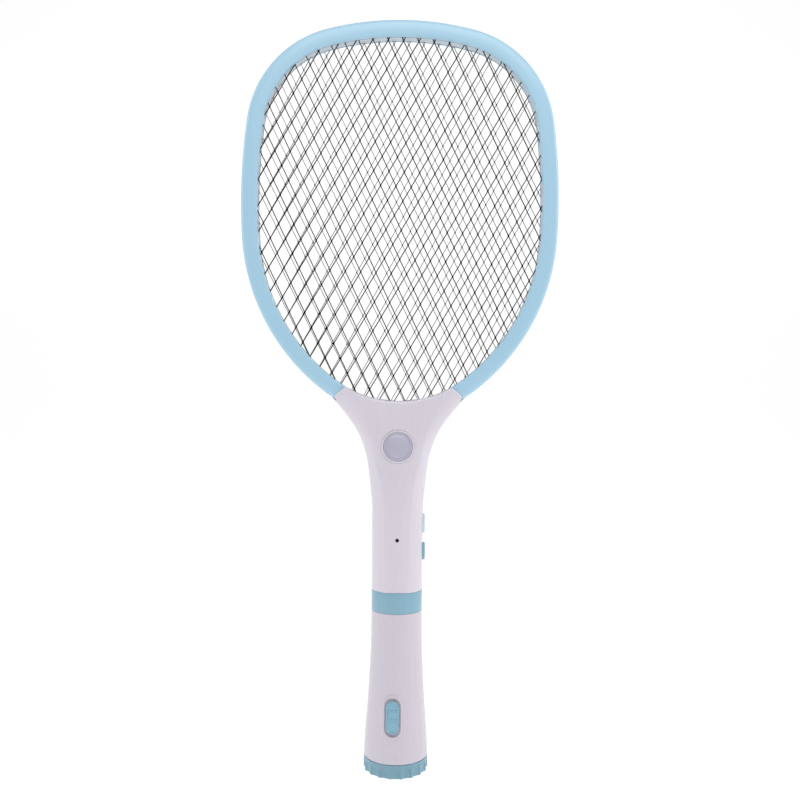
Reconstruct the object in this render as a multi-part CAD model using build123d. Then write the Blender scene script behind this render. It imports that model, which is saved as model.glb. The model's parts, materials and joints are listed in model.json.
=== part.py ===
from build123d import *
from math import acos, copysign, cos, degrees, radians, sin
import os

# Electric fly swatter with a torch as the lower half of its handle.
# Millimetres. +Z runs up the handle to the head, the front faces -Y,
# and the origin is the centre of the tail cap's bottom face.

# --- Head frame ------------------------------------------------------------------------------
HEAD_TOP = 482.0
HEAD_ARCS = ((190.6, 14.3), (69.5, 82.5), (392.4, 93.5), (135.1, 145.6))  # radius, heading at its end
BAND = 10.4                # width of the frame seen from the front
FRAME_HALF = 7.5           # half the frame's thickness
FRAME_WALL = 1.7
LIP = 1.5                  # inner wall that holds the net down
NET_OUT = 3.3              # distance of each net's outer face from the middle plane
NET_THICK = 0.6
NET_RIM = 2.3              # net under the lip, from its edge inward
EDGE_ROUND = 1.6
HEAD_FOOT = 226.3          # lowest point of the frame's outline, inside the yoke
LEAD_X = 12.4              # where the nets' wires pass into the frame
LEAD_R = 0.7

# --- Nets: expanded metal with diamond openings ----------------------------------------------
PITCH_X = 9.9
PITCH_Z = 18.8
STRAND = 0.85
FRONT_NET_TURN = 2.6
REAR_NET_TURN = 1.4
FRONT_NET_ANCHOR = (1.2, 357.1)    # middle of one opening
REAR_NET_ANCHOR = (-2.9, 357.7)

# --- Fasteners -------------------------------------------------------------------------------
RING_SCREWS = 8
SCREW_INSET = 4.9
SCREW_R = 1.2
SCREW_HEAD_R = 2.2
SCREW_HEAD = 1.6
SLOT_HALF = 1.4            # half length of the cross recess
BOSS_R = 3.0
PILOT_PLAY = 0.02

# --- Handle shells: height, half width, half depth, half width of the front panel ------------
HANDLE_SECTIONS = (
    (115.6, 16.4, 16.4, 6.8),
    (165.0, 16.5, 16.3, 8.4),
    (185.0, 18.1, 15.6, 10.2),
    (198.0, 19.7, 14.4, 14.4),
    (209.0, 22.6, 12.6, 16.2),
    (219.0, 27.2, 10.9, 18.5),
    (229.5, 34.7, 10.1, 24.0),
    (240.0, 43.6, 10.0, 31.0),
    (248.0, 50.0, 10.0, 36.0),
)
HANDLE_WALL = 2.0
HANDLE_BOTTOM = HANDLE_SECTIONS[0][0]
YOKE_CENTRE_Z = 237.0      # lowest point of the yoke's concave upper edge
HORN_INNER = (34.0, 246.0)
HORN_OUTER = (44.0, 238.0)
HANDLE_SCREWS = ((-16.5, 216.5), (16.5, 216.5), (0.0, 191.5), (0.0, 134.9))

# --- Light in the neck -----------------------------------------------------------------------
LIGHT_Z = 208.0
LIGHT_TILT = 7.4
LIGHT_SEAT = 12.0          # distance of the light's rim from the middle plane
BEZEL_R = 10.6
LENS_R = 9.4

# --- Controls on the right side --------------------------------------------------------------
BUTTON_Z = 158.0
BUTTON_LENGTH = 12.7
SWITCH_Z = 140.0
SWITCH_LENGTH = 11.3
CONTROL_WIDTH = 6.4
CONTROL_OUT = 1.5
CONTROL_PLAY = 0.3
BUTTON_TRAVEL = 1.0
SWITCH_TRAVEL = 3.0
SIDE_FACE = 16.45          # half width of the handle at the controls
FLANGE_OUT = 13.3          # outer face of the controls' flanges, inside the wall
STEM_END = 10.6            # inner end of the push button's stem
LED_Z = 149.0
LED_R = 1.1

# --- Boards in the upper handle --------------------------------------------------------------
BOARD_Y = 2.6
BOARD_THICK = 1.6
BOARD_HALF = 9.0
BOARD_BOTTOM = 139.0
BOARD_TOP = 186.0

# --- Torch -----------------------------------------------------------------------------------
COLLAR_BOTTOM = 102.5
COLLAR_TOP = 115.3
COLLAR_R = 16.4
SPIGOT_R = 13.7
SPIGOT_TOP = 128.0
CAP_TOP = 9.0
CAP_R = 20.6
BODY_SECTIONS = (          # height and radius
    (9.15, 20.6), (18.0, 20.3), (29.4, 19.5), (42.4, 18.5), (61.9, 17.4), (81.0, 16.6), (102.4, 16.4),
)
BODY_WALL = 2.0
TORCH_TURN = 6.5           # the torch's front is turned this much about the handle's axis
SLIDER_Z = 38.3
SLIDER_TILT = 3.9
SLIDER_SIZE = (8.0, 20.2)
RECESS_SIZE = (9.9, 24.0)
RIM_SIZE = (13.0, 27.5)
RIM_OUT = 0.8
SLIDER_OUT = 0.8
FLUTES = 18
FLUTE_R = 3.6
FLUTE_DEPTH = 1.0
FLUTE_TOP = 7.0
CAP_THREAD_R = 17.9
CAP_THREAD_TOP = 14.0
CELL_R = 5.25
CELL_LENGTH = 44.5
CELL_SPREAD = 6.35
CELL_ANGLES = (30, 150, 270)
CARRIER_BOTTOM = 19.0


# --- Small shapes ----------------------------------------------------------------------------
ON_ITS_FOOT = (Align.CENTER, Align.CENTER, Align.MIN)


def rod(radius, bottom, top, x=0.0, y=0.0):
    """Upright cylinder from one height to another."""
    return Pos(x, y, bottom) * Cylinder(radius, top - bottom, align=ON_ITS_FOOT)


def tube(outer, inner, bottom, top, x=0.0, y=0.0):
    return rod(outer, bottom, top, x, y) - rod(inner, bottom - 1, top + 1, x, y)


def block(x, y, z):
    """Box from three (low, high) pairs."""
    size = [pair[1] - pair[0] for pair in (x, y, z)]
    centre = [(pair[0] + pair[1]) / 2 for pair in (x, y, z)]
    return Pos(*centre) * Box(*size)


def pin_y(radius, front, back, x, z):
    """Cylinder along Y from its front end to its back end."""
    middle = Pos(x, (front + back) / 2, z)
    return middle * Rot(90, 0, 0) * Cylinder(radius, back - front)


def pill(width, length, thickness):
    """Round-ended bar, its length along Z and its thickness along Y from 0 to +Y."""
    face = Plane.XZ * Rot(0, 0, 90) * SlotOverall(length, width)
    return extrude(face, amount=-thickness)


def joined(shapes):
    """Separate solids kept together as one node."""
    return Compound(children=[solid for shape in shapes for solid in shape.solids()])


# --- Head ------------------------------------------------------------------------------------
def head_edges(inset):
    """Edges of the head's outline, moved inward, as tangent arcs."""
    x, z, heading = 0.0, HEAD_TOP - inset, 0.0
    right = []
    for radius, end in HEAD_ARCS + ((None, 180.0),):
        r = radius - inset if radius else x / sin(radians(heading))
        centre = (x - r * sin(radians(heading)), z - r * cos(radians(heading)))
        points = []
        for angle in (heading, (heading + end) / 2, end):
            points.append((centre[0] + r * sin(radians(angle)), centre[1] + r * cos(radians(angle))))
        right.append(points)
        x, z = points[-1]
        heading = end
    right[-1][-1] = (0.0, right[-1][-1][1])
    left = [[(-px, pz) for px, pz in reversed(points)] for points in reversed(right)]
    return [ThreePointArc(*points) for points in right + left]


def head_wire(inset):
    return Wire(head_edges(inset))


def head_face(inset):
    return Face(head_wire(inset))


def ring_sweep(corners):
    """Sweep a closed section round the head. Corners are (inset, distance from the middle plane)."""
    section = Plane(origin=(0, 0, HEAD_TOP), x_dir=(0, 0, -1), z_dir=(1, 0, 0))
    return sweep(section * make_face(Polyline(*corners, close=True)), path=Plane.XZ * head_wire(0))


def lead_notch(side):
    """Hole in one frame half's lowest stretch for its net's wire."""
    x, y = side * LEAD_X, side * (NET_OUT - NET_THICK / 2)
    return rod(LEAD_R + 0.2, HEAD_FOOT - 3, HEAD_FOOT + 5, x, y)


def ring_screw_spots():
    """Places of the frame's screws, evenly round the head and clear of its lowest point."""
    path = head_wire(SCREW_INSET)
    spots = [path.position_at((index + 0.5) / RING_SCREWS) for index in range(RING_SCREWS)]
    return [(spot.X, spot.Y) for spot in spots]


def frame_half(side):
    """One half of the head's frame. side is -1 for the front and +1 for the rear."""
    out, wall, lip = FRAME_HALF, FRAME_WALL, BAND - LIP
    clamp = NET_OUT + 0.02
    corners = [
        (0, 0), (0, out - EDGE_ROUND - 0.6), (0.55, out - 0.75), (EDGE_ROUND, out - 0.15), (3.2, out),
        (BAND - 1.6, out), (BAND - 0.5, out - 0.4), (BAND, out - 1.1), (BAND, clamp),
        (lip, clamp), (lip, out - wall - 0.4), (wall + 0.6, out - wall - 0.4),
        (wall, out - wall - 1.2), (wall, 0),
    ]
    return ring_sweep([(inset, side * depth) for inset, depth in corners])


def front_ring():
    shell = frame_half(-1)
    for x, z in ring_screw_spots():
        shell += pin_y(BOSS_R, -FRAME_HALF + 1.2, 0, x, z)
        shell -= pin_y(SCREW_R + PILOT_PLAY, -FRAME_HALF + 2.2, 1, x, z)
    return shell - lead_notch(-1)


def rear_ring():
    shell = frame_half(1)
    seat = FRAME_HALF - SCREW_HEAD - 0.6
    for x, z in ring_screw_spots():
        shell += pin_y(BOSS_R, 0, FRAME_HALF - 0.6, x, z)
        shell -= pin_y(SCREW_R + PILOT_PLAY, -1, FRAME_HALF, x, z)
        shell -= pin_y(SCREW_HEAD_R + 0.15, seat, FRAME_HALF + 1, x, z)
    return shell - lead_notch(1)


def screw(x, z, tip, seat):
    """Pan-head screw along Y from its tip to its seat, with a cross recess in its head."""
    shank = pin_y(SCREW_R, tip, seat + 0.2, x, z)
    head = pin_y(SCREW_HEAD_R, seat, seat + SCREW_HEAD, x, z)
    recess = (seat + SCREW_HEAD / 2, seat + SCREW_HEAD + 1)
    cross = block((x - SLOT_HALF, x + SLOT_HALF), recess, (z - 0.3, z + 0.3))
    cross += block((x - 0.3, x + 0.3), recess, (z - SLOT_HALF, z + SLOT_HALF))
    return shank + head - cross


def ring_screws():
    seat = FRAME_HALF - SCREW_HEAD - 0.6
    return joined([screw(x, z, -FRAME_HALF + 3.0, seat) for x, z in ring_screw_spots()])


def net_spacer():
    """Insulating frame that keeps the two nets apart."""
    depth = NET_OUT - NET_THICK
    edge = BAND - NET_RIM
    return ring_sweep([(edge, -depth), (BAND - 0.2, -depth), (BAND - 0.2, depth), (edge, depth)])


def diamond(x, z, turn):
    """Rounded-off corners of one opening, turned with its net."""
    half_x = PITCH_X / 2 - STRAND * 0.56
    half_z = PITCH_Z / 2 - STRAND * 1.2
    corners = [(half_x, 0), (0, half_z), (-half_x, 0), (0, -half_z)]
    c, s = cos(radians(turn)), sin(radians(turn))
    return [(x + u * c + v * s, z - u * s + v * c) for u, v in corners]


def net_sheet(turn, anchor):
    """Flat net with its solid rim, in the XZ plane."""
    opening = head_face(BAND - 0.8)
    box = opening.bounding_box()
    c, s = cos(radians(turn)), sin(radians(turn))
    holes = []
    steps_x = int(box.size.X / PITCH_X) + 3
    steps_z = int(box.size.Y / PITCH_Z) + 3
    for row in range(-2 * steps_z, 2 * steps_z):
        for column in range(-steps_x, steps_x):
            u = (column + (row % 2) / 2) * PITCH_X
            v = row * PITCH_Z / 2
            x = anchor[0] + u * c + v * s
            z = anchor[1] - u * s + v * c
            corners = diamond(x, z, turn)
            inside = [opening.is_inside(Vector(px, pz, 0)) for px, pz in corners]
            hole = Wire(Polyline(*corners, close=True))
            if all(inside):
                holes.append(hole)
            elif any(inside):
                clipped = Face(hole).intersect(opening)
                pieces = clipped.faces() if clipped else []
                holes += [face.outer_wire() for face in pieces if face.area > 4]
    return Face(head_wire(BAND - NET_RIM), holes)


def net(side, turn, anchor):
    sheet = Plane.XZ * net_sheet(turn, anchor)
    front = NET_OUT - NET_THICK if side > 0 else -NET_OUT
    return Pos(0, front, 0) * extrude(sheet, amount=NET_THICK, dir=(0, 1, 0))


def front_net():
    return net(-1, FRONT_NET_TURN, FRONT_NET_ANCHOR)


def rear_net():
    return net(1, REAR_NET_TURN, REAR_NET_ANCHOR)


# --- Handle shells ---------------------------------------------------------------------------
def superellipse(width, depth, angle, power):
    """Point of a superellipse in the plane Z = 0."""
    c, s = cos(radians(angle)), sin(radians(angle))
    return width * copysign(abs(c) ** (2 / power), c), depth * copysign(abs(s) ** (2 / power), s)


def handle_section(height, width, depth, panel):
    """Cross-section: a flatter front panel between two soft creases, the rest round."""
    power = 2.0 + 8.0 * (1 - depth / width) ** 3
    crease = degrees(acos((panel / width) ** (power / 2)))
    right = [superellipse(width, depth, -crease * step / 4, power) for step in range(5)]
    left = [(-x, y) for x, y in reversed(right)]
    back = [superellipse(width, depth, 180 - 15 * step, power) for step in range(1, 12)]
    bulge = 0.35 * right[-1][1] - 0.65 * depth
    panel_edge = ThreePointArc(right[-1], (0, bulge), left[0])
    rear_edge = Spline(left[-1], *back, right[0])
    return Pos(0, 0, height) * make_face([Spline(*right), panel_edge, Spline(*left), rear_edge])


def handle_loft(wall):
    sections = []
    for height, width, depth, panel in HANDLE_SECTIONS:
        sections.append(handle_section(height, width - wall, depth - wall, panel * (width - wall) / width))
    return loft(sections, ruled=True)


def yoke_outline():
    """Front view of the region that the handle shells may fill."""
    low = HANDLE_BOTTOM - 1
    far = HORN_OUTER[0] + 30
    beyond = HORN_OUTER[1] - 30 * (HORN_INNER[1] - HORN_OUTER[1]) / (HORN_OUTER[0] - HORN_INNER[0])
    edges = [
        ThreePointArc((-HORN_INNER[0], HORN_INNER[1]), (0, YOKE_CENTRE_Z), HORN_INNER),
        Polyline(HORN_INNER, HORN_OUTER, (far, beyond), (far, low), (-far, low), (-far, beyond),
                 (-HORN_OUTER[0], HORN_OUTER[1]), (-HORN_INNER[0], HORN_INNER[1])),
    ]
    return extrude(Plane.XZ * make_face(edges), amount=30, both=True)


def frame_clearance():
    """Room for the frame between the yoke's front and rear faces."""
    out = FRAME_HALF + 0.08
    return ring_sweep([(-0.1, -out), (BAND + 0.1, -out), (BAND + 0.1, out), (-0.1, out)])


def light_place():
    """Local frame of the neck light: +Z out of the handle, origin on its rim."""
    normal = (0, -cos(radians(LIGHT_TILT)), sin(radians(LIGHT_TILT)))
    return Plane(origin=(0, -LIGHT_SEAT, LIGHT_Z), x_dir=(1, 0, 0), z_dir=normal)


def dock_room():
    """Bore that takes the torch's spigot, up to the dock plate."""
    return rod(SPIGOT_R + 0.35, HANDLE_BOTTOM - 1, SPIGOT_TOP + 3.2)


def side_window(height, length):
    window = pill(CONTROL_WIDTH + 2 * CONTROL_PLAY, length + 2 * CONTROL_PLAY, 12)
    return Pos(SIDE_FACE + 3, 0, height) * Rot(0, 0, 90) * window


def handle_blank():
    blank = handle_loft(0) & yoke_outline()
    cavity = handle_loft(HANDLE_WALL) - block((-60, 60), (-60, 60), (100, SPIGOT_TOP + 1.0))
    blank = blank - cavity - dock_room() - frame_clearance()
    blank -= side_window(BUTTON_Z, BUTTON_LENGTH)
    blank -= side_window(SWITCH_Z + SWITCH_TRAVEL / 2, SWITCH_LENGTH + SWITCH_TRAVEL)
    return blank


def handle_boss(x, z, side):
    """Screw boss from the shell to the middle plane."""
    reach = 30.0
    ends = (0, reach) if side > 0 else (-reach, 0)
    return pin_y(BOSS_R, ends[0], ends[1], x, z) & handle_loft(0.8)


def front_handle_shell():
    half = block((-60, 60), (-30, 0), (100, 260))
    shell = handle_blank() & half
    for x, z in HANDLE_SCREWS:
        shell += handle_boss(x, z, -1)
        shell -= pin_y(SCREW_R + PILOT_PLAY, -7.0, 1, x, z)
    well = light_place() * Pos(0, 0, -14) * Cylinder(BEZEL_R + 0.1, 40, align=ON_ITS_FOOT)
    shell -= well
    shell -= pin_y(LED_R, -30, -5, 0, LED_Z)
    return shell


def screw_seat(z):
    """Depth of each handle screw's head: shallower where the yoke is thin."""
    return 5.4 if z > YOKE_CENTRE_Z - 25 else 7.0


def rear_handle_shell():
    half = block((-60, 60), (0, 30), (100, 260))
    shell = handle_blank() & half
    for x, z in HANDLE_SCREWS:
        shell += handle_boss(x, z, 1)
        shell -= pin_y(SCREW_R + PILOT_PLAY, -1, 30, x, z)
        shell -= pin_y(SCREW_HEAD_R + 0.15, screw_seat(z), 30, x, z)
    return shell


def handle_screws():
    return joined([screw(x, z, -6.4, screw_seat(z)) for x, z in HANDLE_SCREWS])


# --- Neck light ------------------------------------------------------------------------------
def light_bezel():
    ring = tube(BEZEL_R, LENS_R + 0.05, -3.0, 0.0)
    ring += tube(BEZEL_R, LENS_R - 1.6, -3.0, -2.0)
    return light_place() * ring


def light_lens():
    """Shallow dome on a flat disc."""
    rise = 0.9
    radius = (LENS_R ** 2 + rise ** 2) / (2 * rise)
    dome = Pos(0, 0, rise - 0.5 - radius) * Sphere(radius) & rod(LENS_R, -1.95, 5)
    return light_place() * dome


def light_reflector():
    cup = rod(BEZEL_R - 0.4, -3.6, -3.05) + tube(8.6, 7.6, -6.4, -3.3)
    cup -= Pos(0, 0, -3.0) * Rot(180, 0, 0) * Cone(7.4, 4.6, 3.5, align=ON_ITS_FOOT)
    cup -= rod(4.6, -8, -3)
    return light_place() * cup


def light_board():
    return light_place() * rod(8.6, -8.0, -6.45)


def light_leds():
    leds = [rod(1.3, -6.4, -5.4, 2.9 * cos(radians(a)), 2.9 * sin(radians(a))) for a in (90, 210, 330)]
    return light_place() * joined(leds)


# --- Upper handle's electronics --------------------------------------------------------------
def main_board():
    return block((-BOARD_HALF, BOARD_HALF), (BOARD_Y, BOARD_Y + BOARD_THICK), (BOARD_BOTTOM, BOARD_TOP))


def transformer_core():
    """Ferrite core that surrounds the winding."""
    core = block((-7.5, 7.5), (-8.0, BOARD_Y - 0.6), (166, 178))
    core -= block((-5.6, 5.6), (-6.6, BOARD_Y - 2.0), (160, 184))
    return core + pin_y(2.0, -8.0, BOARD_Y - 0.6, 0, 172)


def transformer_winding():
    """Coil on its bobbin, round the core's middle leg."""
    front, back = -6.5, BOARD_Y - 2.1
    coil = pin_y(5.4, front, back, 0, 172)
    bobbin = block((-5.4, 5.4), (front, front + 0.7), (164.5, 179.5))
    bobbin += block((-5.4, 5.4), (back - 0.7, back), (164.5, 179.5))
    return coil + bobbin - pin_y(2.1, -20, 20, 0, 172)


def capacitors():
    """Two flat high-voltage film capacitors on the front of the board."""
    shapes = []
    for z in (142.6, 157.6):
        shapes.append(fillet(block((-8.6, -1.6), (-8.6, BOARD_Y - 0.05), (z, z + 6.4)).edges(), 1.2))
    return joined(shapes)


def diodes():
    bodies = []
    for index in range(4):
        z = 142.0 + index * 4.4
        bodies.append(Pos(-4.4, BOARD_Y + BOARD_THICK + 1.4, z) * Rot(0, 90, 0) * Cylinder(1.3, 5.0))
    return joined(bodies)


def resistors():
    bodies = []
    for index in range(4):
        z = 142.0 + index * 4.4
        bodies.append(Pos(4.4, BOARD_Y + BOARD_THICK + 1.1, z) * Rot(0, 90, 0) * Cylinder(1.0, 6.0))
    return joined(bodies)


def transistor():
    """Flat-sided drive transistor near the transformer."""
    case = rod(2.3, 180.2, 185.0, 3.5, -1.2) - block((0, 8), (-0.2, 4), (179, 186))
    for x in (2.3, 3.5, 4.7):
        case += rod(0.25, 178.9, 180.3, x, -1.2)
    return case


def indicator_led():
    """Small round lamp behind its hole, on a lead frame that reaches the board."""
    lamp = pin_y(LED_R - 0.05, -15.2, -9.0, 0, LED_Z) + pin_y(1.9, -10.4, -9.0, 0, LED_Z)
    for x in (-0.8, 0.8):
        lamp += pin_y(0.25, -9.2, BOARD_Y - 0.02, x, LED_Z)
    return lamp


def button_switch():
    """Tactile switch on the board's edge under the push button."""
    case = block((4.4, 8.3), (-3.0, BOARD_Y - 0.05), (BUTTON_Z - 3, BUTTON_Z + 3))
    plunger_end = STEM_END - BUTTON_TRAVEL - 0.3
    return case + Pos(plunger_end - 0.6, -0.2, BUTTON_Z) * Rot(0, 90, 0) * Cylinder(1.5, 1.2)


def power_switch_body():
    """Slide switch's case, open on the side that its lever comes out of."""
    middle = SWITCH_Z + SWITCH_TRAVEL / 2
    case = block((4.8, 10.2), (-3.0, BOARD_Y - 0.05), (middle - 5.4, middle + 5.4))
    return case - block((8.2, 11), (-1.6, 1.2), (middle - 3.4, middle + 3.4))


def control_cap(length, out):
    """Round-ended cap that stands out of the side and ends in its flange."""
    cap = pill(CONTROL_WIDTH, length, SIDE_FACE + out - FLANGE_OUT + 0.4)
    cap = fillet(cap.faces().sort_by(Axis.Y)[0].edges(), 0.6)
    return Pos(SIDE_FACE + out, 0, 0) * Rot(0, 0, 90) * cap


def push_button():
    flange = block((FLANGE_OUT - 1.1, FLANGE_OUT), (-4.4, 4.4), (-7.2, 7.2))
    stem_length = FLANGE_OUT - 0.5 - STEM_END
    stem = Pos(STEM_END + stem_length / 2, -0.2, 0) * Rot(0, 90, 0) * Cylinder(1.3, stem_length)
    return Pos(0, 0, BUTTON_Z) * (control_cap(BUTTON_LENGTH, CONTROL_OUT - 0.1) + flange + stem)


def power_slider():
    """Ribbed cap, its flange and the lever that reaches into the switch."""
    cap = control_cap(SWITCH_LENGTH, CONTROL_OUT)
    flange = block((FLANGE_OUT - 1.1, FLANGE_OUT), (-4.2, 4.2), (-6.6, 7.2))
    lever = block((8.6, FLANGE_OUT - 0.5), (-1.2, 0.8), (-1.4, 1.4))
    ribs = [Pos(SIDE_FACE + CONTROL_OUT, 0, z) * Rot(90, 0, 0) * Cylinder(0.3, 5.0) for z in (-3, -1, 1, 3)]
    slider = cap + flange + lever
    for rib in ribs:
        slider -= rib
    return Pos(0, 0, SWITCH_Z) * slider


def dock_plate():
    """Insulating plate at the top of the bore that takes the torch."""
    plate = rod(SPIGOT_R + 0.3, SPIGOT_TOP + 1.0, SPIGOT_TOP + 2.6)
    for x in (-9.0, 9.0):
        plate -= rod(0.9, SPIGOT_TOP, SPIGOT_TOP + 4, x)
    return plate


def dock_contacts():
    """Two spring leaves under the plate, each with a post through it."""
    parts = []
    for side in (-1, 1):
        post = rod(0.85, SPIGOT_TOP + 0.6, SPIGOT_TOP + 3.6, side * 9.0)
        height = (SPIGOT_TOP + 0.45, SPIGOT_TOP + 0.95)
        leaf = block((side * 9.0 - 1.8, side * 9.0 + 1.8), (-1.5, 1.5), height)
        parts.append(post + leaf)
    return joined(parts)


def lead(points):
    """Insulated wire along straight runs joined by arcs."""
    path = FilletPolyline(*points, radius=2.4)
    start = Plane(origin=path @ 0, z_dir=path % 0)
    return sweep(start * Circle(LEAD_R), path=path)


def net_lead(side):
    """Wire from the board's high-voltage end up to one net's rim."""
    x = side * LEAD_X
    y = side * (NET_OUT - NET_THICK / 2)
    board_y = BOARD_Y - 0.8 if side < 0 else BOARD_Y + BOARD_THICK + 0.8
    rim = HEAD_FOOT + BAND - NET_RIM + 1.0
    foot = [(side * 6.0, board_y, 180.5), (side * 6.0, board_y, 196.0)]
    return lead(foot + [(x, board_y, 206.0), (x, y, 220.0), (x, y, rim)])


# --- Torch -----------------------------------------------------------------------------------
def cone_profile(inset):
    """Half outline of the torch body, flared towards the tail."""
    return [(r - inset, z) for z, r in BODY_SECTIONS]


def torch_cone(inset, low, high):
    points = cone_profile(inset)
    side = Spline(*points, tangents=[(0, 1), (0, 1)])
    top = points[-1]
    bottom = points[0]
    outline = [side, Polyline(top, (0, top[1]), (0, bottom[1]), bottom)]
    solid = revolve(Plane.XZ * make_face(outline), axis=Axis.Z)
    return solid & block((-40, 40), (-40, 40), (low, high))


def slider_radius():
    for (z0, r0), (z1, r1) in zip(BODY_SECTIONS, BODY_SECTIONS[1:]):
        if z0 <= SLIDER_Z <= z1:
            return r0 + (r1 - r0) * (SLIDER_Z - z0) / (z1 - z0)


def slider_place():
    """Local frame on the cone's front: +Z up the slope and -Y out of the surface."""
    return Rot(0, 0, -TORCH_TURN) * Pos(0, -slider_radius(), SLIDER_Z) * Rot(-SLIDER_TILT, 0, 0)


def torch_body():
    shell = torch_cone(0, 0, 200) - torch_cone(BODY_WALL, CAP_THREAD_TOP + 0.5, 200)
    shell -= rod(CAP_THREAD_R + 0.3, 0, CAP_THREAD_TOP + 0.6)
    shell += tube(14.6, SPIGOT_R + 0.02, COLLAR_BOTTOM - 6.5, COLLAR_BOTTOM - 0.1)
    rim = slider_place() * Pos(0, -RIM_OUT, 0) * pill(*RIM_SIZE, 2.2)
    rim = fillet(rim.faces().sort_by(Axis.Y)[0].edges(), 0.45)
    pocket = slider_place() * Pos(0, -3, 0) * pill(*RECESS_SIZE, 4.4)
    window = slider_place() * Pos(0, -3, 0) * pill(4.4, 13.0, 12)
    floor = slider_place() * Pos(0, 1.4, 0) * pill(RECESS_SIZE[0] + 2.4, RECESS_SIZE[1] + 2.4, 1.6)
    return shell + rim + floor - pocket - window


def torch_slider():
    """Thumb slide with two cross ribs, and a tongue through the floor of its recess."""
    cap = Pos(0, -SLIDER_OUT, 0) * pill(*SLIDER_SIZE, SLIDER_OUT + 1.1)
    cap = fillet(cap.faces().sort_by(Axis.Y)[0].edges(), 0.5)
    for z in (-1.2, 4.2):
        cap += Pos(0, -SLIDER_OUT, z) * Rot(0, 90, 0) * Cylinder(0.3, 5.8)
    tongue = block((-1.7, 1.7), (1.0, 4.9), (-4.2, 4.2))
    return slider_place() * (cap + tongue)


def torch_switch_body():
    """Switch under the thumb slide, with a slot for the slide's tongue."""
    case = block((-4.6, 4.6), (3.05, 6.6), (-9.0, 9.0))
    case -= block((-2.1, 2.1), (3, 5.4), (-6.4, 6.4))
    return slider_place() * case


def torch_collar():
    ring = tube(COLLAR_R, SPIGOT_R + 0.02, COLLAR_BOTTOM + 0.02, COLLAR_TOP)
    return fillet(ring.edges().filter_by(GeomType.CIRCLE).sort_by(SortBy.RADIUS)[-2:], 0.4)


def torch_head():
    """Tube inside the collar: its upper end is the spigot, its lower end fits the body."""
    tube_part = tube(SPIGOT_R, SPIGOT_R - 1.6, COLLAR_BOTTOM - 6.0, SPIGOT_TOP)
    seat = tube(SPIGOT_R - 1.4, SPIGOT_R - 2.6, SPIGOT_TOP - 4.2, SPIGOT_TOP - 3.0)
    return tube_part + seat


def torch_lens():
    return rod(SPIGOT_R - 1.65, SPIGOT_TOP - 2.95, SPIGOT_TOP - 1.2)


def torch_reflector():
    """Cup that widens from the lamp to the lens."""
    height = 12.0
    top = SPIGOT_TOP - 4.25
    outer = Pos(0, 0, top) * Rot(180, 0, 0) * Cone(11.9, 4.4, height, align=ON_ITS_FOOT)
    inner = Pos(0, 0, top + 0.01) * Rot(180, 0, 0) * Cone(11.1, 3.4, height + 0.02, align=ON_ITS_FOOT)
    return outer - inner


def torch_led_board():
    return rod(11.8, 108.0, 109.6)


def torch_led():
    lamp = block((-1.75, 1.75), (-1.75, 1.75), (109.62, 110.4))
    return lamp + Pos(0, 0, 110.4) * (Sphere(1.3) & rod(3, 0, 3))


def torch_pins():
    """Two contact pins that reach the dock's leaves through the lens's edge."""
    pins = []
    for side in (-1, 1):
        pin = rod(0.7, SPIGOT_TOP - 1.15, SPIGOT_TOP + 0.1, side * 9.0)
        pins.append(pin + rod(1.3, SPIGOT_TOP - 1.15, SPIGOT_TOP - 0.6, side * 9.0))
    return joined(pins)


def battery_carrier():
    """Two end plates on a central post that hold the cells."""
    top = CARRIER_BOTTOM + CELL_LENGTH + 4.4
    carrier = rod(12.4, CARRIER_BOTTOM, CARRIER_BOTTOM + 1.6) + rod(12.4, top - 1.6, top)
    carrier += rod(0.8, CARRIER_BOTTOM, top)
    for angle in CELL_ANGLES:
        x, y = -11.0 * cos(radians(angle)), -11.0 * sin(radians(angle))
        carrier += rod(1.3, CARRIER_BOTTOM, top, x, y)
    return carrier


def battery_cells():
    cells = []
    base = CARRIER_BOTTOM + 2.2
    for angle in CELL_ANGLES:
        x, y = CELL_SPREAD * cos(radians(angle)), CELL_SPREAD * sin(radians(angle))
        can = rod(CELL_R, base, base + CELL_LENGTH - 1.0, x, y)
        cells.append(can + rod(1.9, base + CELL_LENGTH - 1.1, base + CELL_LENGTH, x, y))
    return joined(cells)


def carrier_contacts():
    """Plates between the cells' ends and the carrier, and the button in its lower end."""
    plates = []
    base = CARRIER_BOTTOM + 1.65
    top = CARRIER_BOTTOM + CELL_LENGTH + 2.25
    for angle in CELL_ANGLES:
        x, y = CELL_SPREAD * cos(radians(angle)), CELL_SPREAD * sin(radians(angle))
        plates.append(rod(3.0, base, base + 0.5, x, y))
        plates.append(rod(3.0, top, top + 0.5, x, y))
    plates.append(rod(3.4, CARRIER_BOTTOM - 0.55, CARRIER_BOTTOM - 0.05))
    return joined(plates)


def torch_plate():
    """Partition above the cells, with the contact that meets the carrier's upper end."""
    base = CARRIER_BOTTOM + CELL_LENGTH + 5.2
    return rod(14.9, base + 0.9, base + 2.5) + rod(3.0, base, base + 1.0)


def torch_leads():
    """Two wires from the partition up to the lamp's board."""
    leads = []
    base = CARRIER_BOTTOM + CELL_LENGTH + 7.72
    for x in (-5.0, 5.0):
        leads.append(rod(0.7, base, 107.98, x, 0))
    return joined(leads)


def tail_spring():
    """Tapered contact spring, as its outer shape."""
    height = CARRIER_BOTTOM - 0.9 - 4.05
    cone = Cone(7.0, 3.6, height, align=ON_ITS_FOOT)
    bore = Pos(0, 0, -0.1) * Cone(5.8, 2.4, height + 0.2, align=ON_ITS_FOOT)
    return Pos(0, 0, 4.05) * (cone - bore)


def tail_contact():
    return rod(14.6, 3.4, 4.0)


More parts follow.
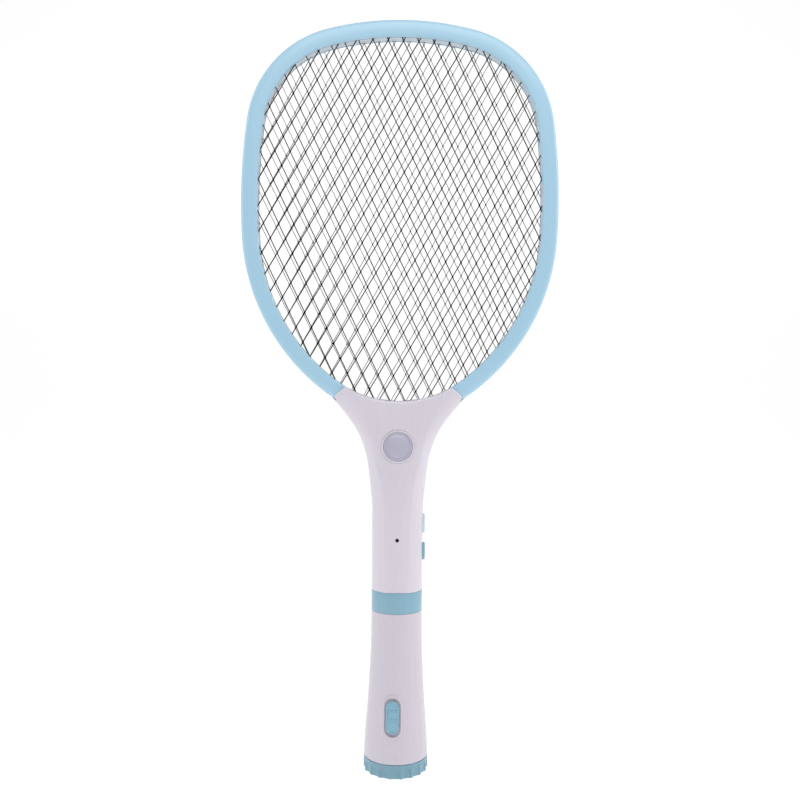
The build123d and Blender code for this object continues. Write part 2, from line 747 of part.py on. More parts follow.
def flute():
    """Scoop in the cap's side: a cylinder with a round top, its bottom open."""
    scoop = rod(FLUTE_R, -1, FLUTE_TOP - FLUTE_R * 0.5)
    return scoop + Pos(0, 0, FLUTE_TOP - FLUTE_R * 0.5) * Sphere(FLUTE_R)


def tail_cap():
    cap = rod(CAP_R, 0, CAP_TOP - 0.15)
    cap = fillet(cap.faces().sort_by(Axis.Z)[0].edges(), 1.2)
    for index in range(FLUTES):
        turn = Rot(0, 0, index * 360 / FLUTES)
        cap -= turn * Pos(0, -(CAP_R + FLUTE_R - FLUTE_DEPTH), 0) * flute()
    cap += rod(CAP_THREAD_R, CAP_TOP - 1, CAP_THREAD_TOP)
    cap -= rod(CAP_THREAD_R - 2.4, 3.1, CAP_THREAD_TOP + 1)
    return cap


PARTS = (
    front_ring, rear_ring, net_spacer, front_net, rear_net, ring_screws,
    front_handle_shell, rear_handle_shell, handle_screws,
    light_bezel, light_lens, light_reflector, light_board, light_leds,
    main_board, transformer_core, transformer_winding, capacitors, diodes, resistors, transistor,
    indicator_led, button_switch, power_switch_body, push_button, power_slider,
    dock_plate, dock_contacts,
    torch_body, torch_slider, torch_switch_body, torch_collar, torch_head, torch_lens,
    torch_reflector, torch_led_board, torch_led, torch_pins,
    battery_carrier, battery_cells, carrier_contacts, torch_plate, torch_leads,
    tail_spring, tail_contact, tail_cap,
)


def main():
    os.makedirs("parts", exist_ok=True)
    for make in PARTS:
        export_step(make(), f"parts/{make.__name__}.step")
    export_step(net_lead(-1), "parts/front_net_lead.step")
    export_step(net_lead(1), "parts/rear_net_lead.step")


main()
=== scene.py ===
import json
from math import acos, ceil, copysign, cos, degrees, pi, radians, sin, sqrt

import bmesh
import bpy
from mathutils import Matrix, Vector


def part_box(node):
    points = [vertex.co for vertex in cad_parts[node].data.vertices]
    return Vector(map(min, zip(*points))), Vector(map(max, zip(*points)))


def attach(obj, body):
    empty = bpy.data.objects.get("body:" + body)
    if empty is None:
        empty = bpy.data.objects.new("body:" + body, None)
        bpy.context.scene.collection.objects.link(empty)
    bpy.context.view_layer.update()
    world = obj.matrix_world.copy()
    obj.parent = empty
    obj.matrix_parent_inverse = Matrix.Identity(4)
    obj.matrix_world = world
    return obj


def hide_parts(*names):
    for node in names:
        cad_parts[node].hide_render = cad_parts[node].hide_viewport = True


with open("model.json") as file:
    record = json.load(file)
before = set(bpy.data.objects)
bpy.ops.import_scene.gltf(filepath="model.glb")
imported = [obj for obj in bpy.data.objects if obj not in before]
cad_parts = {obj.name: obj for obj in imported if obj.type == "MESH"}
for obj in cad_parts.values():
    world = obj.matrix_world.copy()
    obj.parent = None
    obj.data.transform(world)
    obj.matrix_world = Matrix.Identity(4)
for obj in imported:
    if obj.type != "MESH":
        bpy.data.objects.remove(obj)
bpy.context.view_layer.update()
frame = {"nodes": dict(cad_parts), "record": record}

# Electric fly swatter: an oval head with two nets, a flared handle with a light in its
# neck, and a torch as the lower grip. Metres. +Z runs up the handle, the front faces -Y.

NODES = frame["nodes"]

# --- Head frame ------------------------------------------------------------------------------
HEAD_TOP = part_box("front_ring")[1].z
HEAD_ARCS = ((0.1906, 14.3), (0.0695, 82.5), (0.3924, 93.5), (0.1351, 145.6))  # radius, heading at its end
BAND = 0.0104
FRAME_HALF = 0.0075
LIP = 0.0015
NET_OUT = 0.0033
NET_THICK = 0.0006
STATION_STEP = 0.0022
PARTING = 0.00018          # half width of the seam line between two mouldings

# --- Nets ------------------------------------------------------------------------------------
FRONT_NET = {"knot": (-0.00347, 0.35687), "turn": 2.6,
             "pitch": (0.00990, 0.01881), "widths": (0.00064, 0.00062)}
REAR_NET = {"knot": (0.00236, 0.35733), "turn": 1.4,
            "pitch": (0.00972, 0.01870), "widths": (0.00046, 0.00044)}
NET_EDGE = BAND - 0.0016    # strands end here, under the frame's lip
KNOT_REACH = 0.00075       # half of the upright stretch where two strands meet
KNOT_LEAN = 0.00034        # how far a strand's middle keeps from the knot's middle

# --- Handle: height, half width, half depth, half width of the front panel -------------------
HANDLE_SECTIONS = (
    (0.1156, 0.0164, 0.0164, 0.0068),
    (0.1650, 0.0165, 0.0163, 0.0084),
    (0.1850, 0.0181, 0.0156, 0.0102),
    (0.1980, 0.0197, 0.0144, 0.0144),
    (0.2090, 0.0226, 0.0126, 0.0162),
    (0.2190, 0.0272, 0.0109, 0.0185),
    (0.2295, 0.0347, 0.0101, 0.0240),
    (0.2400, 0.0436, 0.0100, 0.0310),
    (0.2480, 0.0500, 0.0100, 0.0360),
)
HANDLE_BOTTOM = HANDLE_SECTIONS[0][0]
HANDLE_WALL = 0.0019
PANEL_SHARE = 0.42           # part of a row of points that the front panel takes
YOKE_HOLLOW_R = 0.0687
YOKE_CENTRE_Z = 0.237
HORN_INNER = (0.034, 0.246)
HORN_OUTER = (0.044, 0.238)
YOKE_LIP = 0.0024
YOKE_SINK = 0.0015
HANDLE_SCREWS = ((-0.0165, 0.2165), (0.0165, 0.2165), (0.0, 0.1915), (0.0, 0.1349))
SCREW_R = 0.0022             # screw head
SCREW_WELL_R = 0.00235
RING_SCREW_SEAT = 0.0053

# --- Light in the neck -----------------------------------------------------------------------
LIGHT_Z = 0.208
LIGHT_TILT = 7.4
LIGHT_SEAT = 0.0120
BEZEL_R = 0.0106
LENS_R = 0.0094
INDICATOR_Z = 0.149
INDICATOR_R = 0.00122

# --- Side controls ---------------------------------------------------------------------------
CONTROL_WIDTH = 0.0064
CONTROL_PLAY = 0.0003
BUTTON_Z = 0.158
BUTTON_LENGTH = 0.0127
SWITCH_Z = 0.140
SWITCH_LENGTH = 0.0113
SWITCH_TRAVEL = 0.003
SIDE_FACE = 0.01645

# --- Torch -----------------------------------------------------------------------------------
BODY_SECTIONS = (
    (0.00915, 0.0206), (0.0180, 0.0203), (0.0294, 0.0195), (0.0424, 0.0185),
    (0.0619, 0.0174), (0.0810, 0.0166), (0.1024, 0.0164),
)
BODY_WALL = 0.002
SPIGOT_R = 0.0137
COLLAR_BORE = 0.01373
COLLAR_R = 0.0164
TORCH_TURN = 6.5
SLIDER_Z = 0.0383
SLIDER_TILT = 3.9
SLIDER_SIZE = (0.0080, 0.0202)
RECESS_SIZE = (0.0099, 0.0240)
RIM_SIZE = (0.0130, 0.0275)
RIM_OUT = 0.0008
CAP_TOP = 0.0090
CAP_R = 0.0206
FLUTES = 18
FLUTE_HALF = 0.0032        # half width of a flute's mouth
FLUTE_DEPTH = 0.0010
FLUTE_TOP = 0.0076

# --- Studio ----------------------------------------------------------------------------------
CAMERA_PLACE = (0.0011, -0.552, 0.2377)
CAMERA_LENS = 38.27
CAMERA_ROLL = 0.45
SOFTBOXES = (              # name, place, aim, size, watts
    ("left_softbox", (-1.1, -0.25, 0.85), (0.0, 0.0, 0.40), (0.8, 1.2), 6.0),
    ("right_softbox", (1.1, -0.25, 0.85), (0.0, 0.0, 0.40), (0.8, 1.2), 7.4),
    ("top_softbox", (0.0, -0.1, 1.5), (0.0, 0.0, 0.24), (1.4, 1.0), 4.0),
    ("front_fill", (0.1, -1.3, 1.3), (0.0, 0.0, 0.48), (1.0, 0.6), 8.0),
)


# --- Mesh helpers ----------------------------------------------------------------------------
def add_object(name, data):
    piece = bpy.data.objects.new(name, data)
    bpy.context.scene.collection.objects.link(piece)
    return piece


def make_piece(name, vertices, faces, material, sharp=38.0):
    """Mesh object with outward faces, smooth except across edges sharper than the angle."""
    mesh = bpy.data.meshes.new(name)
    mesh.from_pydata([tuple(v) for v in vertices], [], faces)
    work = bmesh.new()
    work.from_mesh(mesh)
    bmesh.ops.remove_doubles(work, verts=work.verts, dist=1e-7)
    bmesh.ops.dissolve_degenerate(work, edges=work.edges, dist=1e-7)
    bmesh.ops.recalc_face_normals(work, faces=work.faces)
    work.to_mesh(mesh)
    work.free()
    piece = add_object(name, mesh)
    finish_surface(piece, material, sharp)
    return piece


def finish_surface(piece, material, sharp=38.0):
    piece.data.materials.clear()
    piece.data.materials.append(material)
    piece.data.shade_smooth()
    piece.data.set_sharp_from_angle(angle=radians(sharp))


def band_faces(first, second, closed=True):
    """Quads between two rows of vertex numbers."""
    count = len(first)
    last = count if closed else count - 1
    return [(first[i], first[(i + 1) % count], second[(i + 1) % count], second[i]) for i in range(last)]


def loft_rows(rows, closed_rows=False, closed_columns=True, cap_ends=False):
    """Vertices and faces of a surface through rows of equal length."""
    vertices = [point for row in rows for point in row]
    width = len(rows[0])
    index = [[r * width + c for c in range(width)] for r in range(len(rows))]
    faces = []
    pairs = len(rows) if closed_rows else len(rows) - 1
    for r in range(pairs):
        faces += band_faces(index[r], index[(r + 1) % len(rows)], closed_columns)
    if cap_ends:
        faces.append(tuple(reversed(index[0])))
        faces.append(tuple(index[-1]))
    return vertices, faces


def turned(profile, segments=72, closed=False):
    """Surface of revolution about Z from (radius, height) points."""
    rows = []
    for radius, height in profile:
        step = 2 * pi / segments
        rows.append([Vector((radius * cos(step * k), radius * sin(step * k), height))
                     for k in range(segments)])
    return loft_rows(rows, closed_rows=closed)


def rounded_corner(corner, radius, start, steps=5):
    """Quarter-round points on a (radius, height) profile: corner is the arc's centre."""
    return [(corner[0] + radius * cos(radians(start + 90 * k / steps)),
             corner[1] + radius * sin(radians(start + 90 * k / steps))) for k in range(steps + 1)]


def placed(vertices, matrix):
    return [matrix @ Vector(v) for v in vertices]


def moved(shape, matrix):
    """A (vertices, faces) shape put in its place."""
    return placed(shape[0], matrix), shape[1]


def pill_outline(width, length, arc_steps=14):
    """Round-ended outline in XZ, its length along Z."""
    radius = width / 2
    straight = length / 2 - radius
    points = []
    for end in (0, 1):
        centre_z = straight if end == 0 else -straight
        for k in range(arc_steps + 1):
            angle = pi * (k / arc_steps + end)
            points.append((radius * cos(angle), centre_z + radius * sin(angle)))
    return points


def pill_rows(width, length, layers):
    """Rows for a round-ended bar from (inset, y) layers."""
    rows = []
    for inset, y in layers:
        rows.append([Vector((x, y, z)) for x, z in pill_outline(width - 2 * inset, length - 2 * inset)])
    return rows


def cut(piece, cutter_parts, operation="DIFFERENCE"):
    """Boolean with one cutter made of separate closed shapes, applied to the piece's mesh."""
    vertices, faces = [], []
    for part_vertices, part_faces in cutter_parts:
        base = len(vertices)
        vertices += part_vertices
        faces += [tuple(base + i for i in face) for face in part_faces]
    cutter = make_piece("cutter", vertices, faces, piece.data.materials[0])
    modifier = piece.modifiers.new("cut", "BOOLEAN")
    modifier.operation = operation
    modifier.solver = "EXACT"
    modifier.object = cutter
    apply_modifiers(piece)
    bpy.data.objects.remove(cutter)


def apply_modifiers(piece):
    """Replace the piece's mesh with its evaluated one."""
    graph = bpy.context.evaluated_depsgraph_get()
    mesh = bpy.data.meshes.new_from_object(piece.evaluated_get(graph))
    piece.modifiers.clear()
    piece.data = mesh


def tidy_mesh(piece, material, sharp=38.0):
    """Merge doubles after a cut and set the surface again."""
    work = bmesh.new()
    work.from_mesh(piece.data)
    bmesh.ops.remove_doubles(work, verts=work.verts, dist=2e-7)
    bmesh.ops.dissolve_degenerate(work, edges=work.edges, dist=1e-7)
    work.to_mesh(piece.data)
    work.free()
    finish_surface(piece, material, sharp)


def smooth_value(table, at, column):
    """Value between the rows of a table on a curve that never overshoots."""
    xs = [row[0] for row in table]
    ys = [row[column] for row in table]
    slopes = [(ys[i + 1] - ys[i]) / (xs[i + 1] - xs[i]) for i in range(len(xs) - 1)]
    tangents = [slopes[0]]
    for before, after in zip(slopes, slopes[1:]):
        tangents.append(0.0 if before * after <= 0 else 2 * before * after / (before + after))
    tangents.append(slopes[-1])
    i = max(k for k in range(len(xs) - 1) if k == 0 or at >= xs[k])
    h = xs[i + 1] - xs[i]
    t = (at - xs[i]) / h
    return (ys[i] * (2 * t ** 3 - 3 * t * t + 1) + h * tangents[i] * (t ** 3 - 2 * t * t + t)
            + ys[i + 1] * (3 * t * t - 2 * t ** 3) + h * tangents[i + 1] * (t ** 3 - t * t))


# --- Node helpers and shader groups ----------------------------------------------------------
COLOUR_SOCKET = "NodeSocketColor"
NUMBER_SOCKET = "NodeSocketFloat"


def new_group(name, inputs, outputs):
    """Shader group with (name, socket type, default) inputs and (name, socket type) outputs."""
    tree = bpy.data.node_groups.new(name, "ShaderNodeTree")
    for label, kind, default in inputs:
        socket = tree.interface.new_socket(label, in_out="INPUT", socket_type=kind)
        socket.default_value = default
    for label, kind in outputs:
        tree.interface.new_socket(label, in_out="OUTPUT", socket_type=kind)
    return tree, tree.nodes.new("NodeGroupInput"), tree.nodes.new("NodeGroupOutput")


def math_node(tree, operation, first, second=None, clamp=False):
    node = tree.nodes.new("ShaderNodeMath")
    node.operation = operation
    node.use_clamp = clamp
    for slot, value in enumerate((first, second)):
        if value is None:
            continue
        if isinstance(value, (int, float)):
            node.inputs[slot].default_value = value
        else:
            tree.links.new(value, node.inputs[slot])
    return node.outputs[0]


def mix_colour(tree, factor, first, second, blend="MIX"):
    node = tree.nodes.new("ShaderNodeMix")
    node.data_type = "RGBA"
    node.blend_type = blend
    for socket, value in ((node.inputs[0], factor), (node.inputs[6], first), (node.inputs[7], second)):
        if isinstance(value, (int, float, tuple)):
            socket.default_value = value
        else:
            tree.links.new(value, socket)
    return node.outputs[2]


def noise(tree, vector, scale, detail=3.0, roughness=0.55):
    node = tree.nodes.new("ShaderNodeTexNoise")
    node.inputs["Detail"].default_value = detail
    node.inputs["Roughness"].default_value = roughness
    tree.links.new(vector, node.inputs["Vector"])
    if isinstance(scale, (int, float)):
        node.inputs["Scale"].default_value = scale
    else:
        tree.links.new(scale, node.inputs["Scale"])
    return node.outputs["Fac"]


def object_point(tree, stretch=None):
    """Object coordinates, stretched where asked."""
    point = tree.nodes.new("ShaderNodeTexCoord").outputs["Object"]
    if not stretch:
        return point
    mapping = tree.nodes.new("ShaderNodeMapping")
    mapping.inputs["Scale"].default_value = stretch
    tree.links.new(point, mapping.inputs["Vector"])
    return mapping.outputs["Vector"]


def build_moulded_skin():
    """Injection-moulded plastic: cloudy colour, fine spark-eroded grain and faint flow lines."""
    tree, given, result = new_group(
        "moulded_skin",
        (("Colour", COLOUR_SOCKET, (0.8, 0.8, 0.8, 1)),
         ("Deep Colour", COLOUR_SOCKET, (0.6, 0.6, 0.6, 1)),
         ("Mottle", NUMBER_SOCKET, 0.3), ("Gloss", NUMBER_SOCKET, 0.35),
         ("Grain Scale", NUMBER_SOCKET, 2600.0)),
        (("Colour", COLOUR_SOCKET), ("Roughness", NUMBER_SOCKET), ("Height", NUMBER_SOCKET)))
    point = object_point(tree)
    cloud = noise(tree, point, 38.0, detail=4.0)
    flow = noise(tree, object_point(tree, (160.0, 160.0, 16.0)), 1.0, detail=2.0)
    grain = noise(tree, point, given.outputs["Grain Scale"], detail=1.0)
    depth = math_node(tree, "MULTIPLY", math_node(tree, "SUBTRACT", cloud, 0.35, clamp=True),
                      given.outputs["Mottle"])
    colour = mix_colour(tree, depth, given.outputs["Colour"], given.outputs["Deep Colour"])
    sheen = math_node(tree, "MULTIPLY", math_node(tree, "SUBTRACT", flow, 0.5), 0.10)
    rough = math_node(tree, "ADD", given.outputs["Gloss"], sheen)
    rough = math_node(tree, "ADD", rough,
                      math_node(tree, "MULTIPLY", math_node(tree, "SUBTRACT", grain, 0.5), 0.08))
    height = math_node(tree, "ADD", math_node(tree, "MULTIPLY", grain, 0.6),
                       math_node(tree, "MULTIPLY", flow, 0.4))
    tree.links.new(colour, result.inputs["Colour"])
    tree.links.new(rough, result.inputs["Roughness"])
    tree.links.new(height, result.inputs["Height"])
    return tree


def build_handling_marks():
    """Fine rubs and specks from use: long thin scratches and a little dust."""
    tree, given, result = new_group(
        "handling_marks",
        (("Colour", COLOUR_SOCKET, (0.8, 0.8, 0.8, 1)),
         ("Mark Colour", COLOUR_SOCKET, (0.5, 0.5, 0.5, 1)),
         ("Amount", NUMBER_SOCKET, 0.1), ("Roughness", NUMBER_SOCKET, 0.4)),
        (("Colour", COLOUR_SOCKET), ("Roughness", NUMBER_SOCKET)))
    rub = noise(tree, object_point(tree, (900.0, 900.0, 55.0)), 1.0, detail=2.0)
    patch = noise(tree, object_point(tree), 55.0, detail=2.0)
    mask = math_node(tree, "MULTIPLY", math_node(tree, "SUBTRACT", rub, 0.62, clamp=True), 6.0,
                     clamp=True)
    mask = math_node(tree, "MULTIPLY", mask, math_node(tree, "SUBTRACT", patch, 0.45, clamp=True),
                     clamp=True)
    amount = math_node(tree, "MULTIPLY", math_node(tree, "MULTIPLY", mask, 4.0, clamp=True),
                       given.outputs["Amount"])
    colour = mix_colour(tree, amount, given.outputs["Colour"], given.outputs["Mark Colour"])
    tree.links.new(colour, result.inputs["Colour"])
    tree.links.new(math_node(tree, "ADD", given.outputs["Roughness"], amount), result.inputs["Roughness"])
    return tree


def build_metal_grain():
    """Drawn or pressed metal: streaks along Z, fine pits and a duller tint in patches."""
    tree, given, result = new_group(
        "metal_grain",
        (("Colour", COLOUR_SOCKET, (0.6, 0.6, 0.6, 1)),
         ("Dull Colour", COLOUR_SOCKET, (0.4, 0.4, 0.4, 1)),
         ("Dullness", NUMBER_SOCKET, 0.4), ("Gloss", NUMBER_SOCKET, 0.3)),
        (("Colour", COLOUR_SOCKET), ("Roughness", NUMBER_SOCKET), ("Height", NUMBER_SOCKET)))
    streak = noise(tree, object_point(tree, (2400.0, 2400.0, 260.0)), 1.0, detail=3.0)
    patch = noise(tree, object_point(tree), 140.0, detail=4.0)
    dull = math_node(tree, "MULTIPLY", patch, given.outputs["Dullness"])
    tree.links.new(mix_colour(tree, dull, given.outputs["Colour"], given.outputs["Dull Colour"]),
                   result.inputs["Colour"])
    rough = math_node(tree, "ADD", given.outputs["Gloss"], math_node(tree, "MULTIPLY", streak, 0.22))
    tree.links.new(rough, result.inputs["Roughness"])
    tree.links.new(streak, result.inputs["Height"])
    return tree


GROUPS = {"skin": build_moulded_skin(), "marks": build_handling_marks(), "metal": build_metal_grain()}


def srgb(red, green, blue):
    """Linear colour from 0-255 screen values."""
    def linear(value):
        value /= 255.0
        return value / 12.92 if value <= 0.04045 else ((value + 0.055) / 1.055) ** 2.4
    return (linear(red), linear(green), linear(blue), 1.0)


def new_material(name):
    material = bpy.data.materials.new(name)
    material.use_nodes = True
    tree = material.node_tree
    return material, tree, tree.nodes["Principled BSDF"]


def place_group(tree, key, values):
    node = tree.nodes.new("ShaderNodeGroup")
    node.node_tree = GROUPS[key]
    for label, value in values.items():
        node.inputs[label].default_value = value
    return node


def add_bump(tree, shader, height, strength, distance):
    bump = tree.nodes.new("ShaderNodeBump")
    bump.inputs["Strength"].default_value = strength
    bump.inputs["Distance"].default_value = distance
    tree.links.new(height, bump.inputs["Height"])
    tree.links.new(bump.outputs["Normal"], shader.inputs["Normal"])


def moulded_plastic(name, colour, deep, gloss=0.36, mottle=0.35, marks=0.05, grain=2600.0, coat=0.0,
                    bump=0.10):
    """Plastic with the moulded skin and a little handling wear."""
    material, tree, shader = new_material(name)
    skin = place_group(tree, "skin", {"Colour": colour, "Deep Colour": deep, "Mottle": mottle,
                                      "Gloss": gloss, "Grain Scale": grain})
    wear = place_group(tree, "marks", {"Mark Colour": deep, "Amount": marks})
    tree.links.new(skin.outputs["Colour"], wear.inputs["Colour"])
    tree.links.new(skin.outputs["Roughness"], wear.inputs["Roughness"])
    tree.links.new(wear.outputs["Colour"], shader.inputs["Base Color"])
    tree.links.new(wear.outputs["Roughness"], shader.inputs["Roughness"])
    shader.inputs["Coat Weight"].default_value = coat
    shader.inputs["Coat Roughness"].default_value = 0.15
    add_bump(tree, shader, skin.outputs["Height"], bump, 0.00004)
    return material


def grained_metal(name, colour, dull, gloss=0.28, dullness=0.4, bump=0.15):
    material, tree, shader = new_material(name)
    metal = place_group(tree, "metal",
                        {"Colour": colour, "Dull Colour": dull, "Dullness": dullness, "Gloss": gloss})
    tree.links.new(metal.outputs["Colour"], shader.inputs["Base Color"])
    tree.links.new(metal.outputs["Roughness"], shader.inputs["Roughness"])
    shader.inputs["Metallic"].default_value = 1.0
    add_bump(tree, shader, metal.outputs["Height"], bump, 0.00003)
    return material


def frosted_lens_material():
    """Frosted cover of the neck light: a pearly colour with a soft coat over fine grain."""
    material, tree, shader = new_material("frosted_lens")
    skin = place_group(tree, "skin",
                       {"Colour": srgb(186, 184, 202), "Deep Colour": srgb(150, 148, 170), "Mottle": 0.25,
                                      "Gloss": 0.30, "Grain Scale": 3400.0})
    tree.links.new(skin.outputs["Colour"], shader.inputs["Base Color"])
    tree.links.new(skin.outputs["Roughness"], shader.inputs["Roughness"])
    shader.inputs["Coat Weight"].default_value = 0.35
    add_bump(tree, shader, skin.outputs["Height"], 0.2, 0.00004)
    return material


def clear_plastic(name, tint, roughness):
    """Clear moulding with fine surface grain."""
    material, tree, shader = new_material(name)
    skin = place_group(tree, "skin",
                       {"Colour": tint, "Deep Colour": tint, "Gloss": roughness, "Grain Scale": 1800.0})
    tree.links.new(skin.outputs["Colour"], shader.inputs["Base Color"])
    tree.links.new(skin.outputs["Roughness"], shader.inputs["Roughness"])
    shader.inputs["Transmission Weight"].default_value = 1.0
    shader.inputs["IOR"].default_value = 1.49
    add_bump(tree, shader, skin.outputs["Height"], 0.05, 0.00003)
    return material


def laminate_material():
    """Circuit board: solder mask with tracks and pads under it."""
    material, tree, shader = new_material("circuit_laminate")
    tracks = tree.nodes.new("ShaderNodeTexBrick")
    tracks.inputs["Color1"].default_value = (0.012, 0.115, 0.045, 1)
    tracks.inputs["Color2"].default_value = (0.016, 0.150, 0.060, 1)
    tracks.inputs["Mortar"].default_value = (0.030, 0.230, 0.095, 1)
    tracks.inputs["Scale"].default_value = 240.0
    tracks.inputs["Mortar Size"].default_value = 0.06
    turn = tree.nodes.new("ShaderNodeMapping")
    turn.inputs["Rotation"].default_value = (radians(90), 0, 0)
    tree.links.new(object_point(tree), turn.inputs["Vector"])
    tree.links.new(turn.outputs["Vector"], tracks.inputs["Vector"])
    skin = place_group(tree, "skin", {"Deep Colour": (0.01, 0.07, 0.03, 1), "Gloss": 0.32, "Mottle": 0.5})
    tree.links.new(tracks.outputs["Color"], skin.inputs["Colour"])
    tree.links.new(skin.outputs["Colour"], shader.inputs["Base Color"])
    tree.links.new(skin.outputs["Roughness"], shader.inputs["Roughness"])
    add_bump(tree, shader, tracks.outputs["Fac"], 0.3, 0.00005)
    return material


def build_materials():
    """One finish for each kind of surface."""
    return {
        "frame_blue": moulded_plastic(
            "frame_pale_blue", srgb(170, 209, 231), srgb(154, 197, 221), gloss=0.30, coat=0.10),
        "handle_white": moulded_plastic(
            "handle_pearl_white", srgb(218, 212, 223), srgb(205, 198, 211), gloss=0.27, coat=0.10),
        "torch_white": moulded_plastic(
            "torch_pearl_white", srgb(210, 203, 214), srgb(196, 189, 201), gloss=0.27, coat=0.10),
        "cap_blue": moulded_plastic(
            "tail_cap_blue", srgb(122, 164, 182), srgb(102, 144, 164), gloss=0.25, coat=0.10),
        "control_blue": moulded_plastic(
            "control_mid_blue", srgb(134, 177, 197), srgb(116, 161, 183), gloss=0.25, coat=0.10),
        "slider_blue": moulded_plastic(
            "slider_mid_blue", srgb(136, 184, 204), srgb(112, 162, 186), gloss=0.27),
        "button_pale": moulded_plastic(
            "button_pale_blue", srgb(206, 222, 234), srgb(186, 206, 222), gloss=0.30),
        "white_insulator": moulded_plastic(
            "insulator_white", srgb(208, 220, 230), srgb(190, 204, 216), gloss=0.5),
        "head_grey": moulded_plastic(
            "torch_head_grey", srgb(150, 154, 164), srgb(118, 122, 134), gloss=0.4),
        "component_black": moulded_plastic(
            "component_black", (0.012, 0.012, 0.013, 1), (0.03, 0.03, 0.03, 1), gloss=0.45),
        "ferrite": moulded_plastic(
            "ferrite_grey", (0.028, 0.028, 0.030, 1), (0.012, 0.012, 0.012, 1), gloss=0.62, bump=0.5),
        "capacitor_case": moulded_plastic(
            "capacitor_resin", srgb(158, 62, 34), srgb(110, 38, 22), gloss=0.22, coat=0.3),
        "resistor_ceramic": moulded_plastic(
            "resistor_lacquer", srgb(205, 176, 124), srgb(160, 128, 80), gloss=0.35, mottle=0.8),
        "cell_wrap": moulded_plastic(
            "cell_sleeve", srgb(58, 72, 92), srgb(36, 46, 62), gloss=0.25, coat=0.3),
        "lead_red": moulded_plastic("lead_red", srgb(176, 40, 34), srgb(120, 22, 20), gloss=0.45),
        "lead_black": moulded_plastic(
            "lead_black", (0.016, 0.016, 0.017, 1), (0.03, 0.03, 0.03, 1), gloss=0.45),
        "dark_lamp": moulded_plastic(
            "indicator_resin", (0.010, 0.003, 0.004, 1), (0.03, 0.004, 0.006, 1), gloss=0.5),
        "clear_lamp": moulded_plastic(
            "lamp_phosphor", srgb(238, 222, 120), srgb(214, 190, 84), gloss=0.2, coat=0.5),
        "net_steel": grained_metal(
            "net_steel_dark", (0.060, 0.060, 0.064, 1), (0.022, 0.022, 0.024, 1), gloss=0.36,
            dullness=0.7),
        "rear_net_steel": grained_metal(
            "net_steel_grey", (0.38, 0.38, 0.39, 1), (0.18, 0.18, 0.19, 1), gloss=0.36, dullness=0.6),
        "screw_steel": grained_metal("screw_zinc", (0.62, 0.62, 0.63, 1), (0.40, 0.40, 0.42, 1)),
        "contact_brass": grained_metal("contact_brass", (0.78, 0.58, 0.26, 1), (0.52, 0.36, 0.15, 1)),
        "copper_winding": grained_metal(
            "winding_copper", (0.72, 0.30, 0.12, 1), (0.42, 0.14, 0.05, 1), bump=0.6),
        "chromed_plastic": grained_metal(
            "reflector_bright", (0.88, 0.88, 0.89, 1), (0.74, 0.74, 0.76, 1), gloss=0.05, bump=0.03),
        "circuit_board": laminate_material(),
        "frosted_lens": frosted_lens_material(),
        "clear_lens": clear_plastic("torch_lens_clear", (0.95, 0.97, 0.98, 1), 0.04),
    }


FINISH = build_materials()


# --- Head outline ----------------------------------------------------------------------------
def head_stations():
    """Arc centre, radius and heading of evenly spaced places round the head, clockwise from the top."""
    x, z, heading = 0.0, HEAD_TOP, 0.0
    right = []
    for radius, end in HEAD_ARCS + ((None, 180.0),):
        r = radius or x / sin(radians(heading))
        centre = (x - r * sin(radians(heading)), z - r * cos(radians(heading)))
        count = ceil(r * radians(end - heading) / STATION_STEP)
        right += [(centre[0], centre[1], r, heading + (end - heading) * k / count) for k in range(count)]
        x = centre[0] + r * sin(radians(end))
        z = centre[1] + r * cos(radians(end))
        heading = end
    last = (0.0, right[-1][1], right[-1][2], 180.0)
    left = [(-cx, cz, r, 360.0 - angle) for cx, cz, r, angle in reversed(right[1:])]
    return right + [last] + left


STATIONS = head_stations()


def head_point(station, inset, y):
    cx, cz, r, angle = station
    return Vector((cx + (r - inset) * sin(radians(angle)), y, cz + (r - inset) * cos(radians(angle))))


def min_distance(outline, x, z):
    best = 1.0
    inside = False
    for a, b in zip(outline, outline[1:] + outline[:1]):
        edge = (b.x - a.x, b.z - a.z)
        t = ((x - a.x) * edge[0] + (z - a.z) * edge[1]) / (edge[0] ** 2 + edge[1] ** 2)
        t = min(max(t, 0.0), 1.0)
        best = min(best, sqrt((a.x + t * edge[0] - x) ** 2 + (a.z + t * edge[1] - z) ** 2))
        if (a.z > z) != (b.z > z) and x < a.x + (z - a.z) * edge[0] / (b.z - a.z):
            inside = not inside
    return best if inside else -best


def frame_profile(side):
    """Closed section of one frame half, as (inset, y) points."""
    out, inner = FRAME_HALF, BAND
    points = [(PARTING, 0.0), (0.0, PARTING * 1.5), (0.0, out - 0.0026)]
    points += [(0.0024 - 0.0024 * cos(radians(a)), out - 0.0026 + 0.0024 * sin(radians(a)))
               for a in range(12, 91, 13)]
    points += [(0.0040, out - 0.00004), (0.0055, out), (0.0072, out - 0.00006)]
    points += [(inner - 0.0012 + 0.0012 * sin(radians(a)), out - 0.0014 + 0.0012 * cos(radians(a)))
               for a in range(0, 91, 15)]
    if side > 0:
        points = [p for p in points if p[0] < 0.0073]
        points += [(inner - 0.0026, out - 0.0003), (inner - 0.0021, out - 0.0010),
                   (inner - 0.0002, NET_OUT + 0.0007)]
    points += [(inner, NET_OUT + 0.0004), (inner - 0.0003, NET_OUT + 0.00002)]
    points += [(inner - LIP, NET_OUT + 0.00002), (inner - LIP, 0.0046), (0.0017, 0.0046), (0.0017, 0.0)]
    return [(inset, side * y) for inset, y in points]


def swept_frame(profile):
    rows = [[head_point(station, inset, y) for inset, y in profile] for station in STATIONS]
    return loft_rows(rows, closed_rows=True)


